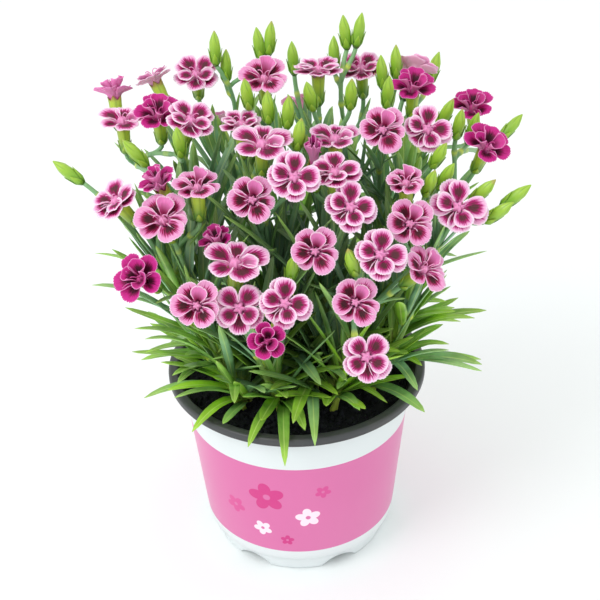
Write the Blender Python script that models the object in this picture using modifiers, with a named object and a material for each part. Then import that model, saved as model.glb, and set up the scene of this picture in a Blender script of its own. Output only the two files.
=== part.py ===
"""A dianthus in flower in its 13 cm pot. Metres, +Z up, the pot's base centre at the origin."""
import math
import random
from dataclasses import dataclass

import bmesh
import bpy
from mathutils import Matrix, Vector
from mathutils.bvhtree import BVHTree

# Pot
POT_HEIGHT = 0.101
RIM_RADIUS = 0.065
RIM_FACE = 0.0050
RIM_LIP = 0.0046
RIM_ROLL = 0.0014
WALL_TOP_RADIUS = 0.0582
WALL_FOOT_RADIUS = 0.0496
WALL_THICKNESS = 0.0014
FOOT_HEIGHT = 0.0100
FOOT_RADIUS = 0.0450
FOOT_LEDGE = 0.0014
FLOOR_THICKNESS = 0.0060
POT_STEPS = 30
SCALLOPS = 6
SCALLOP_FIRST = math.radians(-124)
SCALLOP_CURVE = 0.0134
SCALLOP_RISE = 0.0045
SCALLOP_REACH = 0.036
SCALLOP_SIDES = 20
DRAIN_RADIUS = 0.0040
DRAIN_CIRCLE = 0.038
DRAIN_SIDES = 6

# Soil
SOIL_TOP = 0.0900
SOIL_STEPS = 20
SOIL_RINGS = (0.92, 0.66, 0.36)
SOIL_BUMP = 0.0012
SOIL_CROWN = 0.0020
SOIL_WAVE_X = 190
SOIL_WAVE_Y = 170
SOIL_CROSS_X = 240
SOIL_CROSS_Y = 310
SOIL_CROSS = 0.6
GAP = 0.0003
ROOT_DEPTH = 0.0120
HOLE_RADIUS = 0.0026
HOLE_SIDES = 6

# Sight lines of the photograph, which place the blooms, buds and long leaves
FRAME_CENTRE = 300
FOCAL_PIXELS = 1298
VIEW_DISTANCE = 0.640
VIEW_ELEVATION = math.radians(32.45)
VIEW_ROLL = math.radians(1.6)
VIEW_TARGET = Vector((0.0026, 0.0, 0.1372))
SIGHT_NEAR = 0.48
SIGHT_STEP = 0.0005
SIGHT_STEPS = 560

# Canopy: the dome that the blooms stand on
CANOPY_HEIGHT = 0.245
CANOPY_CREST = 0.014
CANOPY_ACROSS = 3.0
CANOPY_FRONT = 10.0
CANOPY_BACK = 4.0

# Stems, calyces and buds
STEM_SIDES = 5
STEM_RADIUS = 0.0015
STALK_RADIUS = 0.0011
STEM_SPANS = 4
STALK_SPANS = 3
SHORT_STALK = 0.030
SHORT_STALK_SPANS = 2
ROOT_SPREAD = 0.42
ROOT_UPRIGHT = 0.045
ROOT_REACH = 0.041
CALYX_LENGTH = 0.0150
CALYX_PROFILE = ((0.16, 0.0025), (1.0, 0.0030))
BUD_LENGTH = 0.0170
BUD_PROFILE = ((0.14, 0.0024), (0.52, 0.0031), (1.0, 0.0004))
FORK_LOW = 0.14
FORK_HIGH = 0.78
FORK_SPAN = 0.062
FORK_DROPS = (0.0, 0.10, 0.20)
BOWS = (0.0, 0.004, -0.004, 0.008, -0.008, 0.013, -0.013, 0.019, -0.019)
LEADER_START = 0.36
LEADER_END = 0.22
SIDE_START = 0.34
SIDE_END = 0.30
FLAT_ANGLE = math.radians(0.5)

# Leaves
LEAF_STATIONS = ((0.0, 0.42), (0.38, 1.0), (0.74, 0.72))
SHORT_LEAF_STATIONS = ((0.0, 0.42), (0.48, 1.0))
SHORT_LEAF = 0.045
LEAF_KEEL = 0.34
LEAF_CLEARANCE = 0.0005
LEAF_TRIES = 14
LEAF_TIERS = (0.14, 0.34, 0.56)
LEAF_BEND = 0.55
LEAF_FOOT = 0.002
PAIR_TURN = 90
PAIR_START = 45
PAIR_SWING = 35
PAIR_RISE = (38, 66)
PAIR_LENGTH = (0.046, 0.062)
PAIR_DROOP = (20, 60)
PAIR_WIDTH = (0.0050, 0.0068)
TIER_SHORTER = 0.5
TIER_NARROWER = 0.3
BASAL_HEIGHTS = (0.02, 0.05)
BASAL_TURNS = (-50, 50)
BASAL_SWING = 50
BASAL_RISE = (30, 62)
BASAL_LENGTH = (0.046, 0.068)
BASAL_DROOP = (25, 75)
BASAL_WIDTH = (0.0058, 0.0078)

# Blooms
BLOOM_WIDTH = 0.0235
BLOOM_DEPTH = 0.0038
NECK_RADIUS = 0.0017
NECK_SHARE = 0.4
PETALS = 5
PETAL_MIDDLE = 0.50
PETAL_THICKNESS = 0.0010
PETAL_EDGE = ((-36, 0.60), (-23, 0.95), (-8, 1.0), (7, 0.94), (22, 0.98))
INNER_EDGE = ((-0.50, 0.42), (-0.30, 0.88), (0.0, 1.0), (0.30, 0.88))
INNER_BASE = 0.0046
WAVE = 0.0007
TOOTH_WAVE = 0.6

FOLDED, LAYERED, CUPPED, OPENING, BUD = "folded", "layered", "cupped", "opening", "bud"


@dataclass(frozen=True)
class Form:
    """How a bloom's petals stand: rise of the outer edge, and reach and rise of the inner ones."""
    middle: float
    rise: float
    inner: tuple
    colour: tuple


@dataclass(frozen=True)
class Head:
    """A bloom or bud: its pixel in the photograph and the direction that it faces."""
    kind: str
    at: tuple
    toward: float = -90
    tilt: float = 30
    nearer: float = 0.0
    width: float = BLOOM_WIDTH


@dataclass(frozen=True)
class Reach:
    """A long leaf: the pixel of its tip, how far the tip lies behind the axis, its arch and width."""
    tip: tuple
    behind: float
    arch: float = 0.35
    width: float = 0.0060


@dataclass(frozen=True)
class Leaf:
    """A leaf's centre line as root, bend and tip, with its greatest width."""
    root: Vector
    bend: Vector
    tip: Vector
    width: float


FORMS = {
    FOLDED: Form(0.0030, 0.0046, ((0.58, 0.0098), (0.42, 0.0062), (0.36, 0.0060)), (0.62, 0.12, 0.33)),
    LAYERED: Form(0.0027, 0.0038, ((0.80, 0.0066),) * 4, (0.72, 0.22, 0.44)),
    CUPPED: Form(0.0034, 0.0068, ((0.55, 0.0100), (0.46, 0.0085), (0.50, 0.0110)), (0.42, 0.03, 0.17)),
    OPENING: Form(0.0060, 0.0120, ((0.50, 0.0150),) * 3, (0.45, 0.03, 0.20)),
}

STEMS = {
    "far_left": (
        Head(LAYERED, (153, 76), 135, 34, width=0.020),
        Head(CUPPED, (114, 91), 100, 30, 0.006, 0.020),
        Head(LAYERED, (122, 118), -90, 4),
        Head(BUD, (135, 153), -170, 35),
        Head(CUPPED, (158, 113), -90, 18),
        Head(LAYERED, (191, 118), -45, 25),
        Head(BUD, (179, 142), -100, 15),
    ),
    "left": (
        Head(LAYERED, (114, 199), -150, 32),
        Head(CUPPED, (157, 181), -170, 24, -0.004, 0.018),
        Head(FOLDED, (197, 185), -90, 6),
        Head(BUD, (68, 172), 170, 52),
    ),
    "low_left": (
        Head(FOLDED, (162, 218), -110, 30, width=0.027),
        Head(CUPPED, (139, 278), -120, 46),
        Head(FOLDED, (196, 305), -100, 50, 0.007),
    ),
    "top_left": (
        Head(LAYERED, (196, 72), -90, 24),
        Head(FOLDED, (264, 76), -90, 22, width=0.026),
        Head(BUD, (215, 48), 90, 8),
        Head(BUD, (226, 66), 60, 6),
        Head(BUD, (259, 44), 150, 8),
        Head(BUD, (270, 38), 30, 8),
        Head(BUD, (247, 94), -120, 12),
    ),
    "middle_left": (
        Head(LAYERED, (262, 141), -75, 10, width=0.026),
        Head(LAYERED, (241, 122), -100, 4, -0.012, 0.020),
        Head(FOLDED, (252, 199), -90, 50),
        Head(LAYERED, (294, 176), -85, 46, 0.010),
        Head(BUD, (268, 107), -90, 8),
        Head(BUD, (288, 112), -60, 10),
        Head(BUD, (299, 134), -50, 14),
    ),
    "front_left": (
        Head(LAYERED, (235, 260), -75, 12, width=0.026),
        Head(CUPPED, (216, 240), -150, 20, -0.014, 0.016),
        Head(LAYERED, (239, 308), -90, 52),
        Head(LAYERED, (285, 303), -90, 52, 0.005),
        Head(CUPPED, (267, 341), -90, 52, 0.010, 0.017),
        Head(BUD, (292, 268), -60, 20, -0.010),
    ),
    "top_middle": (
        Head(LAYERED, (318, 67), 90, 6, width=0.025),
        Head(LAYERED, (361, 66), -110, 12),
        Head(BUD, (388, 92), -60, 8),
        Head(BUD, (293, 58), 120, 6),
        Head(BUD, (345, 32), 140, 8),
        Head(BUD, (359, 30), 40, 14),
        Head(BUD, (334, 53), 90, 10),
        Head(BUD, (310, 96), -120, 20),
        Head(BUD, (351, 94), -80, 14),
    ),
    "middle_right": (
        Head(LAYERED, (335, 170), -90, 14, 0.002),
        Head(LAYERED, (335, 136), -90, 6, -0.010, 0.021),
        Head(OPENING, (314, 157), -100, 10, -0.008, 0.009),
        Head(LAYERED, (351, 206), -80, 46, 0.004),
        Head(FOLDED, (315, 251), -90, 52),
    ),
    "front_right": (
        Head(LAYERED, (381, 254), -80, 48, 0.006),
        Head(FOLDED, (356, 302), -85, 52),
        Head(LAYERED, (367, 357), -80, 52),
        Head(FOLDED, (426, 268), -40, 42),
        Head(BUD, (352, 262), -130, 20),
    ),
    "top_right": (
        Head(CUPPED, (413, 86), -90, 14),
        Head(LAYERED, (416, 66), 60, 50),
        Head(FOLDED, (383, 129), -90, 50),
        Head(CUPPED, (472, 106), -120, 14),
        Head(BUD, (382, 72), 120, 8, 0.014),
        Head(BUD, (396, 62), 90, 10, 0.006),
        Head(BUD, (434, 68), 30, 20, -0.010),
        Head(BUD, (446, 113), -30, 24),
    ),
    "right": (
        Head(LAYERED, (428, 128), -75, 48),
        Head(CUPPED, (487, 145), -60, 26),
        Head(FOLDED, (406, 181), -100, 14, width=0.019),
        Head(BUD, (459, 124), -60, 14),
        Head(BUD, (473, 128), -20, 16, -0.010),
        Head(BUD, (511, 127), 20, 46),
        Head(BUD, (439, 155), -50, 30),
    ),
    "low_right": (
        Head(LAYERED, (459, 206), -80, 46, width=0.026),
        Head(FOLDED, (411, 223), -80, 50),
        Head(BUD, (430, 183), -60, 24, -0.003),
        Head(BUD, (446, 176), -40, 28, -0.006),
        Head(BUD, (483, 191), -20, 40),
        Head(BUD, (516, 196), 0, 50),
        Head(BUD, (499, 212), -20, 46),
    ),
}

REACHES = {
    "far_left": (Reach((95, 253), 0.010),),
    "left": (Reach((92, 285), -0.020), Reach((110, 257), -0.005, width=0.0075)),
    "low_left": (Reach((144, 398), -0.030), Reach((192, 432), -0.058), Reach((145, 339), -0.050)),
    "top_left": (),
    "middle_left": (Reach((232, 447), -0.072),),
    "front_left": (Reach((285, 466), -0.080), Reach((248, 447), -0.068)),
    "top_middle": (),
    "middle_right": (Reach((315, 446), -0.076),),
    "front_right": (Reach((395, 459), -0.066, width=0.0070), Reach((434, 384), -0.045)),
    "top_right": (),
    "right": (Reach((475, 318), 0.0, width=0.0070),),
    "low_right": (Reach((449, 344), -0.025), Reach((449, 350), -0.040, 0.2)),
}

BACK_STEM = "back"
BACK_HEADS = (((-0.038, 0.086, 0.194), 115, 50), ((0.006, 0.094, 0.200), 92, 52),
              ((0.050, 0.086, 0.186), 66, 50), ((-0.014, 0.086, 0.222), 95, 30))
BACK_KINDS = (LAYERED, FOLDED, LAYERED, BUD)

SOIL_COLOUR = (0.020, 0.014, 0.010)
POT_COLOUR = (0.86, 0.88, 0.88)
LEAF_COLOUR = (0.13, 0.30, 0.06)


def clear_scene():
    """Remove every object of the scene that the script opens in."""
    for old in list(bpy.data.objects):
        bpy.data.objects.remove(old, do_unlink=True)


def new_collection(name):
    """A collection linked to the scene."""
    made = bpy.data.collections.new(name)
    bpy.context.scene.collection.children.link(made)
    return made


def finish(name, colour, roughness):
    """A plain Principled material."""
    material = bpy.data.materials.new(name)
    material.use_nodes = True
    shader = material.node_tree.nodes["Principled BSDF"]
    shader.inputs["Base Color"].default_value = (*colour, 1.0)
    shader.inputs["Roughness"].default_value = roughness
    shader.inputs["Metallic"].default_value = 0.0
    return material


def mesh_object(name, verts, faces, collection, material=None):
    """An object from vertices and faces, with its faces turned outwards."""
    mesh = bpy.data.meshes.new(name)
    mesh.from_pydata([tuple(vert) for vert in verts], [], faces)
    shell = bmesh.new()
    shell.from_mesh(mesh)
    bmesh.ops.recalc_face_normals(shell, faces=shell.faces)
    shell.to_mesh(mesh)
    shell.free()
    made = bpy.data.objects.new(name, mesh)
    collection.objects.link(made)
    if material:
        mesh.materials.append(material)
    return made


def settle(item):
    """Replace an object's mesh by its evaluated one, without modifiers."""
    depsgraph = bpy.context.evaluated_depsgraph_get()
    baked = bpy.data.meshes.new_from_object(item.evaluated_get(depsgraph))
    item.modifiers.clear()
    item.data = baked
    return item


def turn_profile(name, profile, steps, collection, material):
    """Turn a profile of (radius, height) points about the Z axis into a closed solid."""
    points = [(radius, 0.0, height) for radius, height in profile]
    mesh = bpy.data.meshes.new(name)
    mesh.from_pydata(points, [(i, i + 1) for i in range(len(points) - 1)], [])
    made = bpy.data.objects.new(name, mesh)
    collection.objects.link(made)
    mesh.materials.append(material)
    turn = made.modifiers.new("turn", "SCREW")
    turn.steps = turn.render_steps = steps
    turn.use_merge_vertices = True
    turn.merge_threshold = 0.00001
    turn.use_smooth_shade = False
    return settle(made)


def cut(item, cutters):
    """Subtract cutters from an object and remove them."""
    for cutter in cutters:
        cutter.hide_render = True
        cutter.display_type = "WIRE"
        step = item.modifiers.new("cut", "BOOLEAN")
        step.operation = "DIFFERENCE"
        step.object = cutter
    settle(item)
    for cutter in cutters:
        bpy.data.objects.remove(cutter, do_unlink=True)


def post(name, radius, sides, low, high, place, collection):
    """An upright prism cutter between two heights."""
    shape = bmesh.new()
    bmesh.ops.create_cone(shape, cap_ends=True, segments=sides, radius1=radius, radius2=radius,
                          depth=high - low)
    mesh = bpy.data.meshes.new(name)
    shape.to_mesh(mesh)
    shape.free()
    made = bpy.data.objects.new(name, mesh)
    made.location = (place[0], place[1], (low + high) / 2)
    collection.objects.link(made)
    return made


def inner_wall(height):
    """Inner radius of the pot's wall at a height."""
    share = (height - FOOT_HEIGHT) / (POT_HEIGHT - RIM_LIP - FOOT_HEIGHT)
    return WALL_FOOT_RADIUS + (WALL_TOP_RADIUS - WALL_FOOT_RADIUS) * share - WALL_THICKNESS


def pot_profile():
    """The pot's outline from the base centre up the outside, over the rim and down the inside."""
    under_rim = POT_HEIGHT - RIM_LIP
    return (
        (0.0, 0.0),
        (FOOT_RADIUS - RIM_ROLL, 0.0),
        (FOOT_RADIUS, RIM_ROLL),
        (FOOT_RADIUS + FOOT_LEDGE, FOOT_HEIGHT),
        (WALL_FOOT_RADIUS, FOOT_HEIGHT + FOOT_LEDGE),
        (WALL_TOP_RADIUS, under_rim - FOOT_LEDGE),
        (RIM_RADIUS - RIM_ROLL, under_rim),
        (RIM_RADIUS, under_rim + RIM_ROLL),
        (RIM_RADIUS, POT_HEIGHT - RIM_ROLL),
        (RIM_RADIUS - RIM_ROLL, POT_HEIGHT),
        (RIM_RADIUS - RIM_FACE + RIM_ROLL, POT_HEIGHT),
        (RIM_RADIUS - RIM_FACE, POT_HEIGHT - RIM_ROLL),
        (inner_wall(SOIL_TOP), SOIL_TOP + RIM_ROLL),
        (inner_wall(FOOT_HEIGHT) - FOOT_LEDGE, FOOT_HEIGHT + RIM_ROLL),
        (FOOT_RADIUS - WALL_THICKNESS, FLOOR_THICKNESS),
        (0.0, FLOOR_THICKNESS),
    )


def scallop_cutter(angle, collection):
    """A round bar lying outwards under the foot, which leaves an arched notch."""
    length = RIM_RADIUS - SCALLOP_REACH
    bar = post("scallop_cutter", SCALLOP_CURVE, SCALLOP_SIDES, 0.0, length, (0, 0), collection)
    out = Vector((math.cos(angle), math.sin(angle), 0.0)) * (SCALLOP_REACH + length / 2)
    bar.location = out + Vector((0, 0, SCALLOP_RISE - SCALLOP_CURVE))
    bar.rotation_euler = (0.0, math.pi / 2, angle)
    return bar


def build_pot(parts, cutters):
    """The pot: one turned shell with a rolled rim, a scalloped foot and drain holes."""
    white = finish("moulded_plastic", POT_COLOUR, 0.35)
    pot = turn_profile("pot", pot_profile(), POT_STEPS, parts, white)
    angles = [SCALLOP_FIRST + 2 * math.pi * i / SCALLOPS for i in range(SCALLOPS)]
    cut(pot, [scallop_cutter(angle, cutters) for angle in angles])
    places = [(DRAIN_CIRCLE * math.cos(a), DRAIN_CIRCLE * math.sin(a)) for a in angles]
    cut(pot, [post("drain_cutter", DRAIN_RADIUS, DRAIN_SIDES, 0.0, 2 * FLOOR_THICKNESS, place, cutters)
              for place in places])
    return pot


def soil_height(x, y):
    """Height of the soil's surface: low waves on a slight crown."""
    waves = math.sin(SOIL_WAVE_X * x + 1) * math.cos(SOIL_WAVE_Y * y)
    waves += SOIL_CROSS * math.sin(SOIL_CROSS_Y * y - SOIL_CROSS_X * x)
    spread = (x * x + y * y) / inner_wall(SOIL_TOP) ** 2
    return SOIL_TOP + SOIL_CROWN * (1 - spread) + SOIL_BUMP * waves * (1 - spread)


def build_soil(parts, cutters, roots):
    """The soil: fills the pot 0.3 mm clear of it, with a plain hole for each stem."""
    edge = inner_wall(SOIL_TOP) - 2 * GAP
    low = FLOOR_THICKNESS + GAP
    profile = [(0.0, low), (FOOT_RADIUS - WALL_THICKNESS - 2 * GAP, low),
               (inner_wall(FOOT_HEIGHT) - FOOT_LEDGE - 2 * GAP, FOOT_HEIGHT + RIM_ROLL),
               (edge, SOIL_TOP)]
    profile += [(edge * ring, SOIL_TOP) for ring in SOIL_RINGS]
    profile += [(0.0, SOIL_TOP)]
    brown = finish("potting_soil", SOIL_COLOUR, 0.95)
    soil = turn_profile("potting_soil", profile, SOIL_STEPS, parts, brown)
    for vert in soil.data.vertices:
        if vert.co.z > SOIL_TOP - GAP:
            vert.co.z = soil_height(vert.co.x, vert.co.y)
    cut(soil, [post("root_hole_cutter", HOLE_RADIUS, HOLE_SIDES, SOIL_TOP - ROOT_DEPTH - 2 * GAP,
                    POT_HEIGHT, root, cutters) for root in roots])
    return soil


def sight_line(pixel):
    """Where the photograph was taken from, and the direction through one of its pixels."""
    back = Vector((0.0, -math.cos(VIEW_ELEVATION), math.sin(VIEW_ELEVATION)))
    up = Vector((0.0, math.sin(VIEW_ELEVATION), math.cos(VIEW_ELEVATION)))
    across, above = pixel[0] - FRAME_CENTRE, FRAME_CENTRE - pixel[1]
    cos, sin = math.cos(VIEW_ROLL), math.sin(VIEW_ROLL)
    right = (cos * across + sin * above) / FOCAL_PIXELS
    rise = (cos * above - sin * across) / FOCAL_PIXELS
    return VIEW_TARGET + back * VIEW_DISTANCE, (Vector((right, 0, 0)) + up * rise - back).normalized()


def above_canopy(point):
    """How far a point lies above the dome of blooms."""
    behind = point.y - CANOPY_CREST
    fall = CANOPY_ACROSS * point.x ** 2 + (CANOPY_BACK if behind > 0 else CANOPY_FRONT) * behind ** 2
    return point.z - CANOPY_HEIGHT + fall


def on_canopy(head):
    """Where a head's sight line meets the dome, or passes nearest to it."""
    eye, line = sight_line(head.at)
    nearest, least = None, math.inf
    for step in range(SIGHT_STEPS):
        point = eye + line * (SIGHT_NEAR + SIGHT_STEP * step)
        height = above_canopy(point)
        if height < least:
            nearest, least = point, height
        if height <= 0:
            break
    return nearest - line * head.nearer


def at_depth(pixel, behind):
    """The point of a sight line at a distance behind the pot's axis."""
    eye, line = sight_line(pixel)
    return eye + line * ((behind - eye.y) / line.y)


def facing(toward, tilt):
    """Unit vector tilted from upright towards a compass direction, in degrees."""
    turn, lean = math.radians(toward), math.radians(tilt)
    return Vector((math.sin(lean) * math.cos(turn), math.sin(lean) * math.sin(turn), math.cos(lean)))


def place_heads():
    """Every stem's heads as (head, centre, facing), the leader's first."""
    placed = {name: [(head, on_canopy(head), facing(head.toward, head.tilt)) for head in heads]
              for name, heads in STEMS.items()}
    placed[BACK_STEM] = [(Head(kind, (0, 0)), Vector(spot), facing(toward, tilt))
                         for kind, (spot, toward, tilt) in zip(BACK_KINDS, BACK_HEADS)]
    return placed


def root_of(heads):
    """Where a stem enters the soil: below its heads, drawn in towards the pot's axis."""
    middle = sum((centre for _, centre, _ in heads), Vector()) / len(heads)
    spot = Vector((middle.x, middle.y)) * ROOT_SPREAD
    return spot * min(1.0, ROOT_REACH / max(spot.length, GAP))


def ring_points(outline, middle_angle):
    """Points of one petal's edge as (angle, radius share)."""
    return [(math.radians(angle) + middle_angle, reach) for angle, reach in outline]


def stitch(first, second):
    """Triangles between two closed rings of (angle, index), in order of angle."""
    faces, i, j = [], 0, 0
    while i < len(first) or j < len(second):
        next_first = first[i + 1][0] if i + 1 < len(first) else first[0][0] + 2 * math.pi
        next_second = second[j + 1][0] if j + 1 < len(second) else second[0][0] + 2 * math.pi
        a, b = first[i % len(first)][1], second[j % len(second)][1]
        if j >= len(second) or (i < len(first) and next_first <= next_second):
            faces.append((a, first[(i + 1) % len(first)][1], b))
            i += 1
        else:
            faces.append((a, second[(j + 1) % len(second)][1], b))
            j += 1
    return faces


class Shell:
    """Vertices and faces of a solid as it is put together, in a bloom's own frame."""

    def __init__(self):
        self.verts, self.faces = [], []

    def ring(self, points):
        """Add a ring of (angle, radius, height) points and return it as (angle, index)."""
        made = []
        for angle, radius, height in points:
            made.append((angle, len(self.verts)))
            self.verts.append(Vector((radius * math.cos(angle), radius * math.sin(angle), height)))
        return made

    def join(self, first, second):
        """Close the surface between two rings."""
        self.faces += stitch(first, second)

    def cap(self, ring, height):
        """Close a ring with a fan about a centre point."""
        centre = len(self.verts)
        self.verts.append(Vector((0, 0, height)))
        self.faces += [(ring[i][1], ring[(i + 1) % len(ring)][1], centre) for i in range(len(ring))]


def outer_edge(form, radius, draw):
    """Toothed outline of the five outer petals, with a draw of wave for each."""
    points = []
    for petal in range(PETALS):
        middle = 2 * math.pi * (petal + 0.5) / PETALS
        lift = draw.uniform(-1.0, 1.0) * WAVE
        for tooth, (angle, reach) in enumerate(ring_points(PETAL_EDGE, middle)):
            wave = lift + WAVE * (TOOTH_WAVE if tooth % 2 else -TOOTH_WAVE)
            points.append((angle, radius * reach, form.rise * reach + wave))
    return points


def inner_edge(form, radius):
    """Outline of the inner petals, each with its own reach and rise."""
    points = []
    pitch = 2 * math.pi / len(form.inner)
    for petal, (reach, rise) in enumerate(form.inner):
        middle = pitch * (petal + 0.5)
        for share, along in INNER_EDGE:
            height = INNER_BASE + (rise - INNER_BASE) * along
            points.append((middle + share * pitch, radius * reach * along, height))
    return points


def even_ring(count, radius, height, offset=0.0):
    """A ring of evenly spaced points."""
    return [(2 * math.pi * (i + offset) / count, radius, height) for i in range(count)]


def bloom_shell(head, draw):
    """A bloom: a neck, five toothed outer petals and a layer of inner petals, in one surface."""
    form, radius = FORMS[head.kind], head.width / 2
    neck = min(NECK_RADIUS, radius * NECK_SHARE)
    shell = Shell()
    base = shell.ring(even_ring(PETALS, neck, 0.0, 0.5))
    under = shell.ring(even_ring(PETALS, radius * PETAL_MIDDLE, form.middle - PETAL_THICKNESS, 0.5))
    edge = shell.ring(outer_edge(form, radius, draw))
    over = shell.ring(even_ring(PETALS, radius * PETAL_MIDDLE, form.middle, 0.5))
    hub = shell.ring(even_ring(PETALS, neck, form.middle + PETAL_THICKNESS / 2, 0.5))
    inner = shell.ring(inner_edge(form, radius))
    shell.cap(base, 0.0)
    for first, second in ((base, under), (under, edge), (edge, over), (over, hub), (hub, inner)):
        shell.join(first, second)
    shell.cap(inner, INNER_BASE + PETAL_THICKNESS)
    return shell


def bloom_matrix(centre, axis):
    """Frame of a bloom: its axis outwards and its first direction to the photograph's right."""
    right = (Vector((1, 0, 0)) - axis * axis.x).normalized()
    turn = Matrix((right, axis.cross(right), axis)).transposed().to_4x4()
    return Matrix.Translation(centre - axis * BLOOM_DEPTH) @ turn


def build_bloom(name, head, centre, axis, collection):
    """One bloom's solid at its place."""
    shell = bloom_shell(head, random.Random(name))
    place = bloom_matrix(centre, axis)
    petals = finish(name + "_petals", FORMS[head.kind].colour, 0.6)
    return mesh_object(name, [place @ vert for vert in shell.verts], shell.faces, collection, petals)


def build_blooms(placed, parts):
    """All blooms, one object each."""
    flowers = [item for heads in placed.values() for item in heads if item[0].kind != BUD]
    return [build_bloom(f"bloom_{number:02d}", head, centre, axis, parts)
            for number, (head, centre, axis) in enumerate(flowers, 1)]


def flatten(item):
    """Dissolve the splits that a union leaves in flat faces."""
    shell = bmesh.new()
    shell.from_mesh(item.data)
    bmesh.ops.dissolve_limit(shell, angle_limit=FLAT_ANGLE, verts=shell.verts, edges=shell.edges)
    bmesh.ops.triangulate(shell, faces=shell.faces)
    shell.to_mesh(item.data)
    shell.free()


def unite(item, collection):
    """Fuse a collection's objects into an object by one Boolean union and remove them."""
    step = item.modifiers.new("unite", "BOOLEAN")
    step.operation = "UNION"
    step.operand_type = "COLLECTION"
    step.collection = collection
    step.solver = "MANIFOLD"
    settle(item)
    flatten(item)
    for used in list(collection.objects):
        bpy.data.objects.remove(used, do_unlink=True)
    bpy.data.collections.remove(collection)


def cubic(points, share):
    """Point of a cubic Bezier curve."""
    a, b, c, d = points
    rest = 1 - share
    return a * rest ** 3 + b * (3 * rest * rest * share) + c * (3 * rest * share ** 2) + d * share ** 3


def cubic_heading(points, share):
    """Unit tangent of a cubic Bezier curve."""
    ahead, behind = cubic(points, min(share + 0.01, 1.0)), cubic(points, max(share - 0.01, 0.0))
    return (ahead - behind).normalized()


def head_profile(kind):
    """Length and radii of what ends a stalk: a calyx or a bud."""
    return (BUD_LENGTH, BUD_PROFILE) if kind == BUD else (CALYX_LENGTH, CALYX_PROFILE)


def stalk_end(head, centre, axis):
    """Where a stalk meets its calyx or bud."""
    if head.kind == BUD:
        return centre - axis * (BUD_LENGTH / 2)
    return centre - axis * (BLOOM_DEPTH + GAP + CALYX_LENGTH)


def leader_curve(root, head, centre, axis, bow):
    """The main stem's course from the soil to its first head, bowed sideways."""
    foot = Vector((root.x, root.y, SOIL_TOP + SOIL_CROWN + GAP))
    end = stalk_end(head, centre, axis)
    rise = (end - foot).length
    side = Vector((-root.y, root.x, 0)).normalized() * bow
    start = Vector((root.x, root.y, ROOT_UPRIGHT)).normalized()
    return (foot, foot + start * rise * LEADER_START + side, end - axis * rise * LEADER_END + side, end)


def side_curve(parent, share, head, centre, axis, bow):
    """A side stalk's course from its parent to its head, bowed sideways."""
    fork, heading = cubic(parent, share), cubic_heading(parent, share)
    end = stalk_end(head, centre, axis)
    span = end - fork
    side = span.cross(Vector((0, 0, 1))).normalized() * bow
    start = (heading + span.normalized()).normalized()
    reach = span.length
    return (fork, fork + start * reach * SIDE_START + side, end - axis * reach * SIDE_END + side, end)


def stalk_stations(curve, head, axis, root=None):
    """Points and radii along a stalk and through its calyx or bud; a main stem starts at a root."""
    short = (curve[3] - curve[0]).length < SHORT_STALK
    spans = STEM_SPANS if root else SHORT_STALK_SPANS if short else STALK_SPANS
    thick, thin = STEM_RADIUS if root else STALK_RADIUS, STALK_RADIUS
    stations = [(Vector((root.x, root.y, SOIL_TOP - ROOT_DEPTH)), thick)] if root else []
    for i in range(spans + 1):
        share = i / spans
        stations.append((cubic(curve, share), thick + (thin - thick) * share))
    length, profile = head_profile(head.kind)
    stations += [(curve[3] + axis * (length * along), radius) for along, radius in profile]
    return stations


def section_guide(cutters):
    """The stems' cross-section: a five-sided ring of 1 m radius for the curves to carry."""
    curve = bpy.data.curves.new("stem_section", "CURVE")
    ring = curve.splines.new("POLY")
    ring.points.add(STEM_SIDES - 1)
    for i, point in enumerate(ring.points):
        angle = 2 * math.pi * i / STEM_SIDES
        point.co = (math.cos(angle), math.sin(angle), 0.0, 1.0)
    ring.use_cyclic_u = True
    guide = bpy.data.objects.new("stem_section", curve)
    guide.hide_render = True
    guide.display_type = "WIRE"
    cutters.objects.link(guide)
    return guide


def sweep(name, stations, guide, collection):
    """A closed tube along stations of (point, radius), made from a curve with filled caps."""
    curve = bpy.data.curves.new(name, "CURVE")
    curve.dimensions = "3D"
    curve.bevel_mode = "OBJECT"
    curve.bevel_object = guide
    curve.use_fill_caps = True
    line = curve.splines.new("POLY")
    line.points.add(len(stations) - 1)
    for point, (place, radius) in zip(line.points, stations):
        point.co = (*place, 1.0)
        point.radius = radius
    drawn = bpy.data.objects.new(name, curve)
    collection.objects.link(drawn)
    depsgraph = bpy.context.evaluated_depsgraph_get()
    mesh = bpy.data.meshes.new_from_object(drawn.evaluated_get(depsgraph))
    bpy.data.objects.remove(drawn, do_unlink=True)
    shell = bmesh.new()
    shell.from_mesh(mesh)
    bmesh.ops.remove_doubles(shell, verts=shell.verts, dist=0.000001)
    bmesh.ops.triangulate(shell, faces=shell.faces)
    bmesh.ops.recalc_face_normals(shell, faces=shell.faces)
    shell.to_mesh(mesh)
    shell.free()
    made = bpy.data.objects.new(name, mesh)
    collection.objects.link(made)
    return made


class Room:
    """The solids placed so far, each with its node, box and search tree."""

    def __init__(self):
        self.solids = []

    def add(self, node, verts, faces):
        """Remember a solid."""
        low = Vector(map(min, zip(*verts)))
        high = Vector(map(max, zip(*verts)))
        self.solids.append((node, low, high, BVHTree.FromPolygons(verts, faces)))

    def add_object(self, node, item):
        """Remember an object's mesh."""
        self.add(node, [tuple(v.co) for v in item.data.vertices],
                 [tuple(f.vertices) for f in item.data.polygons])

    def clear_object(self, node, item):
        """True if an object touches no solid of another node."""
        return self.clear(node, [v.co for v in item.data.vertices],
                          [tuple(f.vertices) for f in item.data.polygons])

    def clear(self, node, verts, faces):
        """True if a shape touches no solid of another node."""
        low = Vector(map(min, zip(*verts)))
        high = Vector(map(max, zip(*verts)))
        tree = BVHTree.FromPolygons([tuple(v) for v in verts], faces)
        for other, other_low, other_high, other_tree in self.solids:
            if other == node or any(low[k] > other_high[k] or high[k] < other_low[k] for k in range(3)):
                continue
            if tree.overlap(other_tree):
                return False
        return True


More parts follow.
